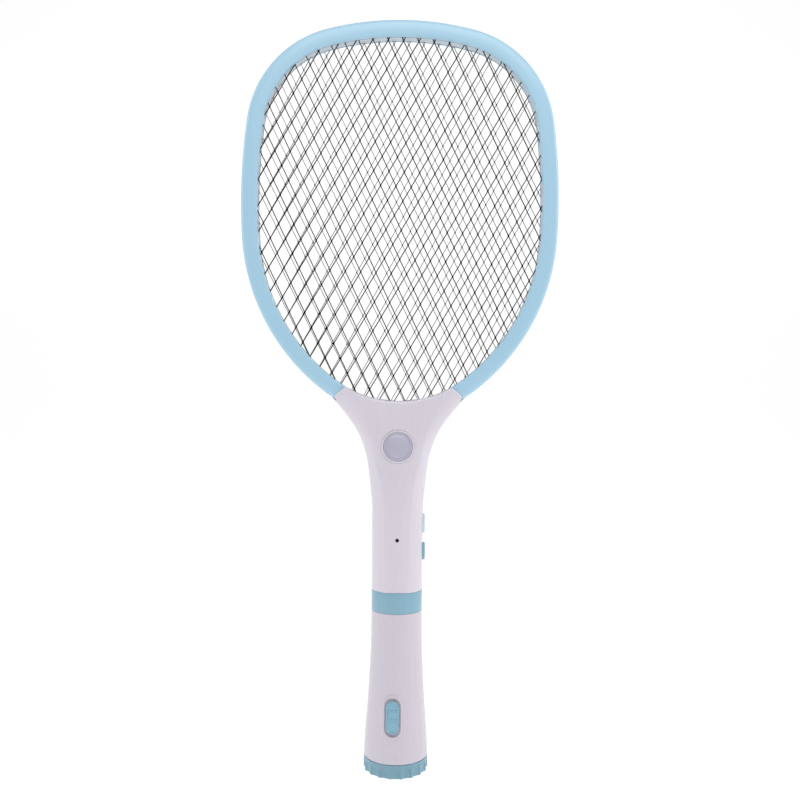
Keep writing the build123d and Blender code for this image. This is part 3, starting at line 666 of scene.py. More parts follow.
def screw_spots(count=8, inset=0.0049):
    """Places of the frame's screws, evenly spaced along the outline at their inset."""
    path = [head_point(station, inset, 0) for station in STATIONS]
    path.append(path[0])
    lengths = [(b - a).length for a, b in zip(path, path[1:])]
    spots = []
    for k in range(count):
        remaining = sum(lengths) * (k + 0.5) / count
        for a, b, length in zip(path, path[1:], lengths):
            if remaining <= length:
                spots.append(a.lerp(b, remaining / length))
                break
            remaining -= length
    return spots


def well(x, z, y_from, y_to, radius, chamfer=0.0003, segments=36):
    """Cutter for a round well along Y, flared at its mouth."""
    direction = copysign(1.0, y_to - y_from)
    profile = [(0.0, 0.0), (radius, 0.0), (radius, abs(y_to - y_from) - chamfer),
               (radius + chamfer * 4, abs(y_to - y_from) + chamfer * 3),
               (0.0, abs(y_to - y_from) + chamfer * 3)]
    vertices, faces = turned(profile, segments)
    turn = Matrix.Rotation(radians(-90 * direction), 4, "X")
    return placed(vertices, Matrix.Translation((x, y_from, z)) @ turn), faces


def make_frame():
    """Both halves of the head's frame; the rear one has wells for its screws."""
    front = make_piece("front_ring_shell", *swept_frame(frame_profile(-1)), FINISH["frame_blue"])
    rear = make_piece("rear_ring_shell", *swept_frame(frame_profile(1)), FINISH["frame_blue"])
    cut(rear, [well(spot.x, spot.z, RING_SCREW_SEAT, FRAME_HALF, SCREW_WELL_R) for spot in screw_spots()])
    tidy_mesh(rear, FINISH["frame_blue"])
    for piece, node in ((front, "front_ring"), (rear, "rear_ring")):
        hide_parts(node)
        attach(piece, "racket")


# --- Geometry node trees ---------------------------------------------------------------------
def new_tree(name, inputs):
    """Geometry tree with a geometry input, the given (name, socket type) inputs and a geometry output."""
    tree = bpy.data.node_groups.new(name, "GeometryNodeTree")
    tree.interface.new_socket("Geometry", in_out="INPUT", socket_type="NodeSocketGeometry")
    for label, kind in inputs:
        tree.interface.new_socket(label, in_out="INPUT", socket_type=kind)
    tree.interface.new_socket("Geometry", in_out="OUTPUT", socket_type="NodeSocketGeometry")
    return tree, tree.nodes.new("NodeGroupInput"), tree.nodes.new("NodeGroupOutput")


def grow(piece, tree, values):
    """Run a geometry tree on a piece with its inputs set, and keep the plain mesh."""
    modifier = piece.modifiers.new("grow", "NODES")
    modifier.node_group = tree
    sockets = {item.name: item.identifier for item in tree.interface.items_tree if item.in_out == "INPUT"}
    for label, value in values.items():
        modifier[sockets[label]] = value
    apply_modifiers(piece)


def finish_tree(tree, given, result, geometry):
    """Realise whatever was grown and give it its material."""
    realise = tree.nodes.new("GeometryNodeRealizeInstances")
    paint = tree.nodes.new("GeometryNodeSetMaterial")
    tree.links.new(geometry, realise.inputs["Geometry"])
    tree.links.new(realise.outputs["Geometry"], paint.inputs["Geometry"])
    tree.links.new(given.outputs["Material"], paint.inputs["Material"])
    tree.links.new(paint.outputs["Geometry"], result.inputs["Geometry"])


def strand_tree():
    """Flat pressed strands along the edges of a line mesh."""
    tree, given, result = new_tree("net_strands",
                                   (("Strand Width", NUMBER_SOCKET), ("Strand Thickness", NUMBER_SOCKET),
                                                   ("Material", "NodeSocketMaterial")))
    to_curve = tree.nodes.new("GeometryNodeMeshToCurve")
    upright = tree.nodes.new("GeometryNodeSetCurveNormal")
    upright.mode = "FREE"
    upright.inputs["Normal"].default_value = (0.0, -1.0, 0.0)
    section = tree.nodes.new("GeometryNodeCurvePrimitiveQuadrilateral")
    sweep = tree.nodes.new("GeometryNodeCurveToMesh")
    sweep.inputs["Fill Caps"].default_value = True
    tree.links.new(given.outputs["Geometry"], to_curve.inputs["Mesh"])
    tree.links.new(to_curve.outputs["Curve"], upright.inputs["Curve"])
    tree.links.new(upright.outputs["Curve"], sweep.inputs["Curve"])
    tree.links.new(given.outputs["Strand Thickness"], section.inputs["Width"])
    tree.links.new(given.outputs["Strand Width"], section.inputs["Height"])
    tree.links.new(section.outputs["Curve"], sweep.inputs["Profile Curve"])
    finish_tree(tree, given, result, sweep.outputs["Mesh"])
    return tree


def instance_tree():
    """One copy of a template at each point, turned by a seeded random angle about Y."""
    tree, given, result = new_tree("fasteners",
                                   (("Template", "NodeSocketObject"), ("Seed", "NodeSocketInt"),
                                                 ("Material", "NodeSocketMaterial")))
    info = tree.nodes.new("GeometryNodeObjectInfo")
    spread = tree.nodes.new("FunctionNodeRandomValue")
    spread.data_type = "FLOAT_VECTOR"
    spread.inputs[0].default_value = (0.0, 0.0, 0.0)
    spread.inputs[1].default_value = (0.0, 2 * pi, 0.0)
    place = tree.nodes.new("GeometryNodeInstanceOnPoints")
    tree.links.new(given.outputs["Template"], info.inputs["Object"])
    tree.links.new(given.outputs["Seed"], spread.inputs["Seed"])
    tree.links.new(given.outputs["Geometry"], place.inputs["Points"])
    tree.links.new(info.outputs["Geometry"], place.inputs["Instance"])
    tree.links.new(spread.outputs[0], place.inputs["Rotation"])
    finish_tree(tree, given, result, place.outputs["Instances"])
    return tree


def coil_tree():
    """Tapered wire coil standing on Z = 0."""
    tree, given, result = new_tree("wire_coil", (("Turns", NUMBER_SOCKET), ("Foot Radius", NUMBER_SOCKET),
                                                 ("Top Radius", NUMBER_SOCKET), ("Height", NUMBER_SOCKET),
                                                 ("Wire Radius", NUMBER_SOCKET),
                                                 ("Material", "NodeSocketMaterial")))
    spiral = tree.nodes.new("GeometryNodeCurveSpiral")
    spiral.inputs["Resolution"].default_value = 28
    wire = tree.nodes.new("GeometryNodeCurvePrimitiveCircle")
    wire.inputs["Resolution"].default_value = 10
    sweep = tree.nodes.new("GeometryNodeCurveToMesh")
    sweep.inputs["Fill Caps"].default_value = True
    for label, socket in (("Turns", "Rotations"), ("Foot Radius", "Start Radius"),
                          ("Top Radius", "End Radius"), ("Height", "Height")):
        tree.links.new(given.outputs[label], spiral.inputs[socket])
    tree.links.new(given.outputs["Wire Radius"], wire.inputs["Radius"])
    tree.links.new(spiral.outputs["Curve"], sweep.inputs["Curve"])
    tree.links.new(wire.outputs["Curve"], sweep.inputs["Profile Curve"])
    finish_tree(tree, given, result, sweep.outputs["Mesh"])
    return tree


STRANDS = strand_tree()
FASTENERS = instance_tree()
COIL = coil_tree()


# --- Nets ------------------------------------------------------------------------------------
def strand_line(start, step, turn, y):
    """Centre line of one strand between two knots: upright at both ends, slanting between them."""
    lean = copysign(KNOT_LEAN, step[0])
    local = [(lean * 0.4, -KNOT_REACH * 0.6), (lean, KNOT_REACH), (step[0] * 0.5, step[1] * 0.5),
             (step[0] - lean, step[1] - KNOT_REACH), (step[0] - lean * 0.4, step[1] + KNOT_REACH * 0.6)]
    c, s = cos(radians(turn)), sin(radians(turn))
    return [Vector((start[0] + u * c + v * s, y, start[1] - u * s + v * c)) for u, v in local]


def trimmed(line, outline, inset):
    """The stretch of a line that lies further inside the head's outline than the inset."""
    depths = [min_distance(outline, point.x, point.z) - inset for point in line]
    kept = []
    for i, (point, depth) in enumerate(zip(line, depths)):
        if i and (depth > 0) != (depths[i - 1] > 0):
            kept.append(line[i - 1].lerp(point, depths[i - 1] / (depths[i - 1] - depth)))
        if depth > 0:
            kept.append(point)
    return kept


def strand_set(layout, y, direction):
    """Line mesh of every strand that climbs to one side, trimmed at the net's hidden rim."""
    outline = [head_point(station, 0, 0) for station in STATIONS[::4]]
    knot, turn, (pitch_x, pitch_z) = layout["knot"], layout["turn"], layout["pitch"]
    c, s = cos(radians(turn)), sin(radians(turn))
    points, edges = [], []
    for row in range(-18, 19):
        for column in range(-14, 15):
            u = (column + (row % 2) / 2) * pitch_x
            v = row * pitch_z / 2
            start = (knot[0] + u * c + v * s, knot[1] - u * s + v * c)
            line = strand_line(start, (direction * pitch_x / 2, pitch_z / 2), turn, y)
            kept = trimmed(line, outline, NET_EDGE)
            if len(kept) < 2:
                continue
            base = len(points)
            points += kept
            edges += [(base + i, base + i + 1) for i in range(len(kept) - 1)]
    return points, edges


def make_net(node, layout, side, finish):
    """One net: two families of strands with their rim strip hidden under the frame's lip."""
    y = side * (NET_OUT - NET_THICK / 2)
    parts = []
    for direction, width in zip((1, -1), layout["widths"]):
        points, edges = strand_set(layout, y, direction)
        mesh = bpy.data.meshes.new(node + "_lines")
        mesh.from_pydata([tuple(p) for p in points], edges, [])
        piece = add_object(node + "_strands", mesh)
        grow(piece, STRANDS, {"Strand Width": width, "Strand Thickness": NET_THICK * 0.9,
                              "Material": FINISH[finish]})
        parts.append(piece)
    half = NET_THICK / 2
    rim = [(BAND - 0.0021, y - half), (BAND - 0.0021, y + half), (BAND - 0.0003, y + half),
           (BAND - 0.0003, y - half)]
    parts.append(make_piece(node + "_rim", *swept_frame(rim), FINISH[finish]))
    net = join(parts, node + "_mesh")
    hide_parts(node)
    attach(net, "racket")


def join(parts, name):
    """One piece from several meshes that share a material."""
    work = bmesh.new()
    for part in parts:
        work.from_mesh(part.data)
    material = parts[0].data.materials[0]
    mesh = bpy.data.meshes.new(name)
    work.to_mesh(mesh)
    work.free()
    for part in parts:
        bpy.data.objects.remove(part)
    piece = add_object(name, mesh)
    finish_surface(piece, material)
    return piece


# --- Screws ----------------------------------------------------------------------------------
def screw_template():
    """Pan-head screw along Y, its head's foot at the origin and its top towards +Y."""
    head = [(0.0, 0.0), (SCREW_R, 0.0), (SCREW_R, 0.0007)]
    head += [(SCREW_R - 0.0009 + 0.0009 * cos(radians(a)), 0.0007 + 0.0009 * sin(radians(a)))
             for a in range(18, 91, 18)]
    head += [(0.0, 0.0016)]
    vertices, faces = turned(head, 32)
    upright = Matrix.Rotation(radians(-90), 4, "X")
    screw = make_piece("screw_template", placed(vertices, upright), faces, FINISH["screw_steel"])
    slots = []
    for turn in (0, 90):
        rows = [[Vector((x * 0.0014, y, z * 0.00028)) for x, z in ((-1, -1), (1, -1), (1, 1), (-1, 1))]
                for y in (0.0008, 0.003)]
        slot_vertices, slot_faces = loft_rows(rows, cap_ends=True)
        slots.append((placed(slot_vertices, Matrix.Rotation(radians(turn), 4, "Y")), slot_faces))
    for slot in slots:
        cut(screw, [slot])
    shank_profile = [(0.0, -0.0075), (0.0005, -0.0072)]
    for ring in range(14):
        shank_profile += [(0.0012, -0.0068 + ring * 0.0005), (0.00098, -0.00655 + ring * 0.0005)]
    shank_profile += [(0.0011, 0.0), (0.0, 0.0)]
    shank_vertices, shank_faces = turned(shank_profile, 14)
    shank = make_piece("screw_shank", placed(shank_vertices, upright), shank_faces, FINISH["screw_steel"])
    return join([screw, shank], "screw_template")


def make_screws():
    template = screw_template()
    seats = {
        "ring_screws": [Vector((spot.x, RING_SCREW_SEAT, spot.z)) for spot in screw_spots()],
        "handle_screws": [Vector((x, screw_depth(z), z)) for x, z in HANDLE_SCREWS],
    }
    for seed, (node, points) in enumerate(seats.items()):
        mesh = bpy.data.meshes.new(node + "_points")
        mesh.from_pydata([tuple(p) for p in points], [], [])
        piece = add_object(node + "_set", mesh)
        grow(piece, FASTENERS, {"Template": template, "Seed": seed + 3,
                                "Material": FINISH["screw_steel"]})
        finish_surface(piece, FINISH["screw_steel"])
        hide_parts(node)
        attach(piece, "racket")
    bpy.data.objects.remove(template)


def screw_depth(z):
    """Depth of a handle screw's seat: shallower where the yoke is thin."""
    return 0.0054 if z > YOKE_CENTRE_Z - 0.025 else 0.0070


# --- Handle shells ---------------------------------------------------------------------------
def handle_sizes(z, wall):
    width, depth, panel = (smooth_value(HANDLE_SECTIONS, z, column) for column in (1, 2, 3))
    return width - wall, depth - wall, panel * (width - wall) / width


def superellipse(width, depth, angle, power):
    c, s = cos(radians(angle)), sin(radians(angle))
    return width * copysign(abs(c) ** (2 / power), c), depth * copysign(abs(s) ** (2 / power), s)


def shell_point(z, across, side, wall):
    """Point of a handle shell at a height. across runs from -1 (right seam) over the middle to 1."""
    width, depth, panel = handle_sizes(z, wall)
    power = 2.0 + 8.0 * (1 - (depth + wall) / (width + wall)) ** 3
    if side > 0:
        x, y = superellipse(width, depth, 90 - 90 * across, power)
        return Vector((x, y, z))
    crease = degrees(acos((panel / width) ** (power / 2)))
    crease_y = superellipse(width, depth, crease, power)[1]
    if abs(across) > PANEL_SHARE:
        share = (1 - abs(across)) / (1 - PANEL_SHARE)
        x, y = superellipse(width, depth, crease * share, power)
        return Vector((copysign(x, across), -y, z))
    t = across / PANEL_SHARE
    bulge = 0.35 * crease_y + 0.65 * depth
    return Vector((panel * t, -(bulge + (crease_y - bulge) * t * t), z))



def yoke_edge(x):
    """Height of the yoke's upper edge at a distance from the middle."""
    x = abs(x)
    if x <= HORN_INNER[0]:
        return YOKE_CENTRE_Z + YOKE_HOLLOW_R - sqrt(YOKE_HOLLOW_R ** 2 - x * x)
    slope = (HORN_INNER[1] - HORN_OUTER[1]) / (HORN_OUTER[0] - HORN_INNER[0])
    return HORN_INNER[1] - slope * (x - HORN_INNER[0])


def column_top(across, side, wall):
    """Height at which a column of the shell meets the yoke's upper edge."""
    low, high = HANDLE_BOTTOM, HANDLE_SECTIONS[-1][0]
    for _ in range(40):
        middle = (low + high) / 2
        if middle < yoke_edge(shell_point(middle, across, side, wall).x):
            low = middle
        else:
            high = middle
    return low


def shell_grid(side, wall, inner):
    """Rows of one skin of a shell, from the handle's foot to the yoke's edge."""
    half_columns, rows = 34, 92
    acrosses = [-1 + k / half_columns for k in range(2 * half_columns + 1)]
    tops = [column_top(across, side, wall) for across in acrosses]
    grid = []
    for r in range(rows + 1):
        share = 1 - (1 - r / rows) ** 1.45
        row = []
        for across, top in zip(acrosses, tops):
            z = HANDLE_BOTTOM + (top - HANDLE_BOTTOM) * share
            point = shell_point(z, across, side, wall)
            below = top - z
            if not inner and below < YOKE_LIP:
                sink = YOKE_SINK * (1 - sqrt(max(1 - (1 - below / YOKE_LIP) ** 2, 0.0)))
                point.y -= copysign(min(sink, abs(point.y)), point.y)
            foot = z - HANDLE_BOTTOM
            if not inner and foot < 0.0004:
                point.x *= 1 - 0.012 * (1 - foot / 0.0004)
                point.y *= 1 - 0.012 * (1 - foot / 0.0004)
            row.append(point)
        if not inner:
            row[0], row[-1] = seam_point(row[0]), seam_point(row[-1])
        else:
            row[0].y = row[-1].y = 0.0
        grid.append(row)
    return grid


def seam_point(point):
    """Draw the shell's edge in a little, so that the two halves meet in a fine line."""
    return Vector((point.x - copysign(PARTING * 1.4, point.x), 0.0, point.z))


def shell_mesh(side):
    """Closed shell from an outer skin, an inner skin and the strips that join their borders."""
    outer = shell_grid(side, 0.0, False)
    inner = shell_grid(side, HANDLE_WALL, True)
    rows, width = len(outer), len(outer[0])
    vertices = [p for row in outer for p in row] + [p for row in inner for p in row]
    offset = rows * width
    faces = []
    for r in range(rows - 1):
        for c in range(width - 1):
            a, b = r * width + c, r * width + c + 1
            faces.append((a, b, b + width, a + width))
            faces.append((offset + a + width, offset + b + width, offset + b, offset + a))
        for a in (r * width, r * width + width - 1):
            faces.append((a, a + width, offset + a + width, offset + a))
    for base in (0, (rows - 1) * width):
        for c in range(width - 1):
            a = base + c
            faces.append((a, a + 1, offset + a + 1, offset + a))
    return vertices, faces


def window(height, length):
    """Cutter for a side control's window, with a softened mouth."""
    play = CONTROL_PLAY
    layers = [(0.0, -0.004), (0.0, 0.0062), (-0.0006, 0.0068), (-0.0006, 0.010)]
    rows = pill_rows(CONTROL_WIDTH + 2 * play, length + 2 * play, layers)
    vertices, faces = loft_rows(rows, cap_ends=True)
    turn = Matrix.Translation((SIDE_FACE - 0.0062, 0, height)) @ Matrix.Rotation(radians(-90), 4, "Z")
    return placed(vertices, turn), faces


def light_place():
    """Local frame of the neck light: +Z out of the handle, origin on its rim."""
    return Matrix.Translation((0, -LIGHT_SEAT, LIGHT_Z)) @ Matrix.Rotation(radians(90 - LIGHT_TILT), 4,
                                                                           "X")


def light_well():
    profile = [(0.0, -0.012), (BEZEL_R + 0.0001, -0.012), (BEZEL_R + 0.0001, -0.0004),
               (BEZEL_R + 0.0011, 0.0008), (BEZEL_R + 0.0011, 0.012), (0.0, 0.012)]
    vertices, faces = turned(profile, 96)
    return placed(vertices, light_place()), faces


def frame_room():
    """Cutter that leaves room for the frame between the yoke's faces."""
    out = FRAME_HALF + 0.00006
    return swept_frame([(-0.0001, -out), (-0.0001, out), (BAND + 0.0001, out), (BAND + 0.0001, -out)])


def make_shells():
    for side, node in ((-1, "front_handle_shell"), (1, "rear_handle_shell")):
        shell = make_piece(node + "_skin", *shell_mesh(side), FINISH["handle_white"])
        cut(shell, [frame_room()])
        switch_middle = SWITCH_Z + SWITCH_TRAVEL / 2
        cut(shell, [window(BUTTON_Z, BUTTON_LENGTH),
                    window(switch_middle, SWITCH_LENGTH + SWITCH_TRAVEL)])
        if side < 0:
            cut(shell, [light_well(), well(0.0, INDICATOR_Z, -0.008, -0.0160, INDICATOR_R,
                                           chamfer=0.0001)])
        else:
            cut(shell, [well(x, z, 0.004, smooth_value(HANDLE_SECTIONS, z, 2) * 0.985, SCREW_WELL_R)
                        for x, z in HANDLE_SCREWS])
        tidy_mesh(shell, FINISH["handle_white"])
        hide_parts(node)
        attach(shell, "racket")


# --- Neck light and indicator ----------------------------------------------------------------
def lathe_piece(name, profile, finish, place=None, segments=72, sharp=38.0):
    """Turned piece from a closed profile, set in its place."""
    vertices, faces = turned(profile, segments, closed=profile[0][0] > 0 and profile[-1][0] > 0)
    if place:
        vertices = placed(vertices, place)
    return make_piece(name, vertices, faces, FINISH[finish], sharp)


def stand_for(piece, node, body):
    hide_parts(node)
    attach(piece, body)


def make_neck_light():
    place = light_place()
    lip = 0.00035
    bezel = [(LENS_R - 0.0016, -0.003), (BEZEL_R, -0.003), (BEZEL_R, -lip)]
    bezel += rounded_corner((BEZEL_R - lip, -lip), lip, 0)
    bezel += rounded_corner((LENS_R + 0.00005 + lip, -lip), lip, 90)
    bezel += [(LENS_R + 0.00005, -0.002), (LENS_R - 0.0016, -0.002)]
    piece = lathe_piece("light_bezel_ring", bezel, "handle_white", place, 96)
    stand_for(piece, "light_bezel", "racket")
    disc = 0.0076
    lens = [(0.0, -0.00195), (LENS_R, -0.00195), (LENS_R, -0.0006), (LENS_R - 0.0003, -0.00035),
            (disc + 0.0004, -0.00022),
            (disc + 0.00015, -0.00045), (disc, -0.00022)]
    lens += [(disc * (1 - k / 9), -0.00018 + 0.0006 * (1 - (1 - k / 9) ** 2)) for k in range(1, 10)]
    piece = lathe_piece("light_lens_cover", lens, "frosted_lens", place, 96, 25.0)
    stand_for(piece, "light_lens", "racket")


def make_indicator():
    radius = INDICATOR_R - 0.00008
    front = 0.0149
    dome = [(0.0, 0.0)] + [(0.0019, 0.0), (0.0019, 0.0013), (radius, 0.0014),
                           (radius, front - 0.0090 - radius)]
    dome += [(radius * cos(radians(a)), front - 0.0090 - radius + radius * sin(radians(a)))
             for a in range(15, 91, 15)]
    place = Matrix.Translation((0, -0.0090, INDICATOR_Z)) @ Matrix.Rotation(radians(90), 4, "X")
    lamp = lathe_piece("indicator_lamp", dome, "dark_lamp", place, 28)
    legs = []
    for x in (-0.0008, 0.0008):
        leg = [(0.0, 0.0), (0.00025, 0.0), (0.00025, 0.0114), (0.0, 0.0114)]
        leg_place = Matrix.Translation((x, 0.0024, INDICATOR_Z)) @ Matrix.Rotation(radians(90), 4, "X")
        legs.append(lathe_piece("indicator_leg", leg, "dark_lamp", leg_place, 10))
    stand_for(join([lamp] + legs, "indicator_lamp"), "indicator_led", "racket")


# --- Controls --------------------------------------------------------------------------------
def cap_layers(out, depth, edge=0.0007):
    """Layers of a round-ended cap: straight skirt, rounded edge and a flat face."""
    layers = [(0.0, depth), (0.0, -out + edge)]
    layers += [(edge - edge * cos(radians(a)), -out + edge - edge * sin(radians(a)))
               for a in (22, 45, 68, 90)]
    return layers


def side_matrix(height):
    """Turns a piece made facing -Y to face +X on the handle's side."""
    return Matrix.Translation((SIDE_FACE, 0, height)) @ Matrix.Rotation(radians(90), 4, "Z")


def box_rows(x, y, z):
    rows = [[Vector((px, py, pz)) for px, pz in ((x[0], z[0]), (x[1], z[0]), (x[1], z[1]), (x[0], z[1]))]
            for py in y]
    return loft_rows(rows, cap_ends=True)


def make_push_button():
    layers = cap_layers(0.0014, 0.0036) + [(0.0013, -0.0014), (0.0017, -0.0012), (0.0024, -0.00112)]
    vertices, faces = loft_rows(pill_rows(CONTROL_WIDTH, BUTTON_LENGTH, layers), cap_ends=True)
    cap = make_piece("push_button_cap", placed(vertices, side_matrix(BUTTON_Z)), faces,
                     FINISH["button_pale"])
    flange = box_rows((-0.0044, 0.0044), (0.00315, 0.00425), (-0.0072, 0.0072))
    cut(cap, [moved(flange, side_matrix(BUTTON_Z))], "UNION")
    stem_place = Matrix.Translation((0.0106, -0.0002, BUTTON_Z)) @ Matrix.Rotation(radians(90), 4, "Y")
    stem = turned([(0.0, 0.0), (0.0013, 0.0), (0.0013, 0.0020), (0.0, 0.0020)], 24)
    cut(cap, [moved(stem, stem_place)], "UNION")
    tidy_mesh(cap, FINISH["button_pale"])
    stand_for(cap, "push_button", "button")


def make_power_slider():
    vertices, faces = loft_rows(pill_rows(CONTROL_WIDTH, SWITCH_LENGTH, cap_layers(0.0015, 0.0036)),
                                cap_ends=True)
    place = side_matrix(SWITCH_Z)
    cap = make_piece("power_slider_cap", placed(vertices, place), faces, FINISH["control_blue"])
    grooves = []
    for k in range(-2, 3):
        groove = turned([(0.0, -0.0024), (0.00038, -0.0024), (0.00038, 0.0024), (0.0, 0.0024)], 16)
        turn = place @ Matrix.Translation((0, -0.00155, k * 0.0016)) @ Matrix.Rotation(radians(90), 4,
                                                                                       "Y")
        grooves.append(moved(groove, turn))
    cut(cap, grooves)
    flange = box_rows((-0.0042, 0.0042), (0.00315, 0.00425), (-0.0066, 0.0072))
    cut(cap, [moved(flange, place)], "UNION")
    lever = box_rows((-0.0012, 0.0008), (0.0042, 0.00785), (-0.0014, 0.0014))
    cut(cap, [moved(lever, place)], "UNION")
    tidy_mesh(cap, FINISH["control_blue"])
    stand_for(cap, "power_slider", "power_switch")


# --- Torch -----------------------------------------------------------------------------------
def body_radius(z):
    return smooth_value(BODY_SECTIONS, z, 1)


def slider_place():
    """Local frame on the torch's front: +Z up the slope and -Y out of the surface."""
    turn = Matrix.Rotation(radians(-TORCH_TURN), 4, "Z")
    return turn @ Matrix.Translation((0, -body_radius(SLIDER_Z),
                                      SLIDER_Z)) @ Matrix.Rotation(radians(-SLIDER_TILT), 4, "X")


def on_body(x, z, out):
    """Point on the torch body, a distance out of it, from a place in the slider's frame."""
    point = slider_place() @ Vector((x, 0, z))
    radius = body_radius(point.z)
    side = slider_place().to_3x3() @ Vector((x, 0, 0))
    across = side.length * copysign(1.0, x)
    angle = radians(-90 - TORCH_TURN) + across / radius
    return Vector(((radius + out) * cos(angle), (radius + out) * sin(angle), point.z))


def make_torch_body():
    low, high = BODY_SECTIONS[0][0], BODY_SECTIONS[-1][0]
    steps = 70
    outer = [(body_radius(low + (high - low) * k / steps), low + (high - low) * k / steps)
             for k in range(steps + 1)]
    soften = 0.0004
    outer[0] = (outer[0][0] - soften, low)
    outer.insert(1, (body_radius(low + soften), low + soften))
    outer[-1] = (outer[-1][0] - soften, high)
    outer.insert(-1, (body_radius(high - soften), high - soften))
    top_inner = [(0.01376, high), (0.01376, 0.096)]
    inner = [(r - BODY_WALL, z) for r, z in reversed(outer) if 0.015 < z < 0.0955]
    foot = [(0.0182, 0.0146), (0.0182, low)]
    vertices, faces = turned(outer + top_inner + inner + foot, 120, closed=True)
    body = make_piece("torch_body_shell", vertices, faces, FINISH["torch_white"])
    place = slider_place()
    floor_rows = pill_rows(RECESS_SIZE[0] + 0.0024, RECESS_SIZE[1] + 0.0024,
                           [(0.0, 0.0012), (0.0, 0.0030)])
    floor = loft_rows(floor_rows, cap_ends=True)
    cut(body, [moved(floor, place)], "UNION")
    pocket = loft_rows(pill_rows(*RECESS_SIZE, [(0.0, -0.004), (0.0, 0.0014)]), cap_ends=True)
    cut(body, [moved(pocket, place)])
    slot = loft_rows(pill_rows(0.0044, 0.013, [(0.0, -0.001), (0.0, 0.006)]), cap_ends=True)
    cut(body, [moved(slot, place)])
    tidy_mesh(body, FINISH["torch_white"])
    rim = make_piece("torch_rim", *rim_mesh(), FINISH["torch_white"])
    stand_for(join([body, rim], "torch_body_shell"), "torch_body", "torch")


def rim_mesh():
    """Raised bead round the slide's recess, following the body's curve."""
    spread = (RIM_SIZE[0] - RECESS_SIZE[0]) / 2
    rows = []
    outer = pill_outline(*RIM_SIZE, 24)
    inner = pill_outline(*RECESS_SIZE, 24)
    for (ox, oz), (ix, iz) in zip(outer, inner):
        row = [on_body(ox, oz, -0.0006)]
        for angle in range(0, 181, 20):
            share = (1 - cos(radians(angle))) / 2
            lift = RIM_OUT * sin(radians(angle)) ** 0.8 if 0 < angle < 180 else 0.0
            row.append(on_body(ox + (ix - ox) * share, oz + (iz - oz) * share, lift - 0.00005))
        row.append(on_body(ix, iz, -0.0012))
        row.append(on_body((ox + ix) / 2, (oz + iz) / 2, -0.0012))
        rows.append(row)
    return loft_rows(rows, closed_rows=True)


def make_torch_slider():
    """Thumb slide: rimmed edge, three shallow fields between two cross ribs, and a tongue."""
    layers = [(0.0, 0.0011), (0.0, -0.0003), (0.00018, -0.00060), (0.00045, -0.0008), (0.00075, -0.0008),
              (0.00100, -0.00050), (0.0012, -0.00032)]
    vertices, faces = loft_rows(pill_rows(*SLIDER_SIZE, layers), cap_ends=True)
    place = slider_place()
    slide = make_piece("torch_slide_cap", placed(vertices, place), faces, FINISH["slider_blue"])
    for z in (-0.0012, 0.0042):
        rib = turned([(0.0, -0.0030), (0.00055, -0.0030), (0.00055, 0.0030), (0.0, 0.0030)], 20)
        turn = place @ Matrix.Translation((0, -0.00030, z)) @ Matrix.Rotation(radians(90), 4, "Y")
        cut(slide, [moved(rib, turn)], "UNION")
    tongue = box_rows((-0.0017, 0.0017), (0.0010, 0.0049), (-0.0042, 0.0042))
    cut(slide, [moved(tongue, place)], "UNION")
    tidy_mesh(slide, FINISH["slider_blue"])
    stand_for(slide, "torch_slider", "torch_switch")


def make_collar():
    low, high = 0.10244, 0.1155
    edge = 0.0003
    profile = [(COLLAR_BORE, low), (COLLAR_R - edge, low)]
    profile += rounded_corner((COLLAR_R - edge, low + edge), edge, -90)[1:]
    profile += rounded_corner((COLLAR_R - edge, high - edge), edge, 0)
    profile += [(COLLAR_BORE, high)]
    piece = lathe_piece("torch_collar_ring", profile, "control_blue", None, 120)
    stand_for(piece, "torch_collar", "torch")


def make_torch_head():
    """Spigot with two snap beads, its lens seat inside."""
    outer = SPIGOT_R
    profile = [(outer - 0.0016, 0.0965), (outer, 0.0965), (outer, 0.1180)]
    for z in (0.1195, 0.1235):
        profile += [(outer, z - 0.0006), (outer + 0.00018, z - 0.0003), (outer + 0.00018, z + 0.0003),
                    (outer, z + 0.0006)]
    profile += [(outer, 0.1275), (outer - 0.0005, 0.1280), (outer - 0.0016, 0.1280)]
    profile += [(outer - 0.0016, 0.1250), (outer - 0.0026, 0.1250), (outer - 0.0026, 0.1238),
                (outer - 0.0016, 0.1238)]
    piece = lathe_piece("torch_head_tube", profile, "head_grey", None, 96)
    stand_for(piece, "torch_head", "torch")
    lens = [(0.0, 0.12505), (0.01203, 0.12505), (0.01203, 0.1264), (0.0117, 0.1268), (0.0, 0.1268)]
    piece = lathe_piece("torch_lens_disc", lens, "clear_lens", None, 96)
    stand_for(piece, "torch_lens", "torch")
    cup = [(0.0034 + 0.0077 * sqrt(k / 12), 0.11175 + 0.0119 * k / 12) for k in range(13)]
    back = [(r + 0.0008, z) for r, z in reversed(cup)]
    piece = lathe_piece("torch_reflector_cup", cup + back, "chromed_plastic", None, 96)
    stand_for(piece, "torch_reflector", "torch")


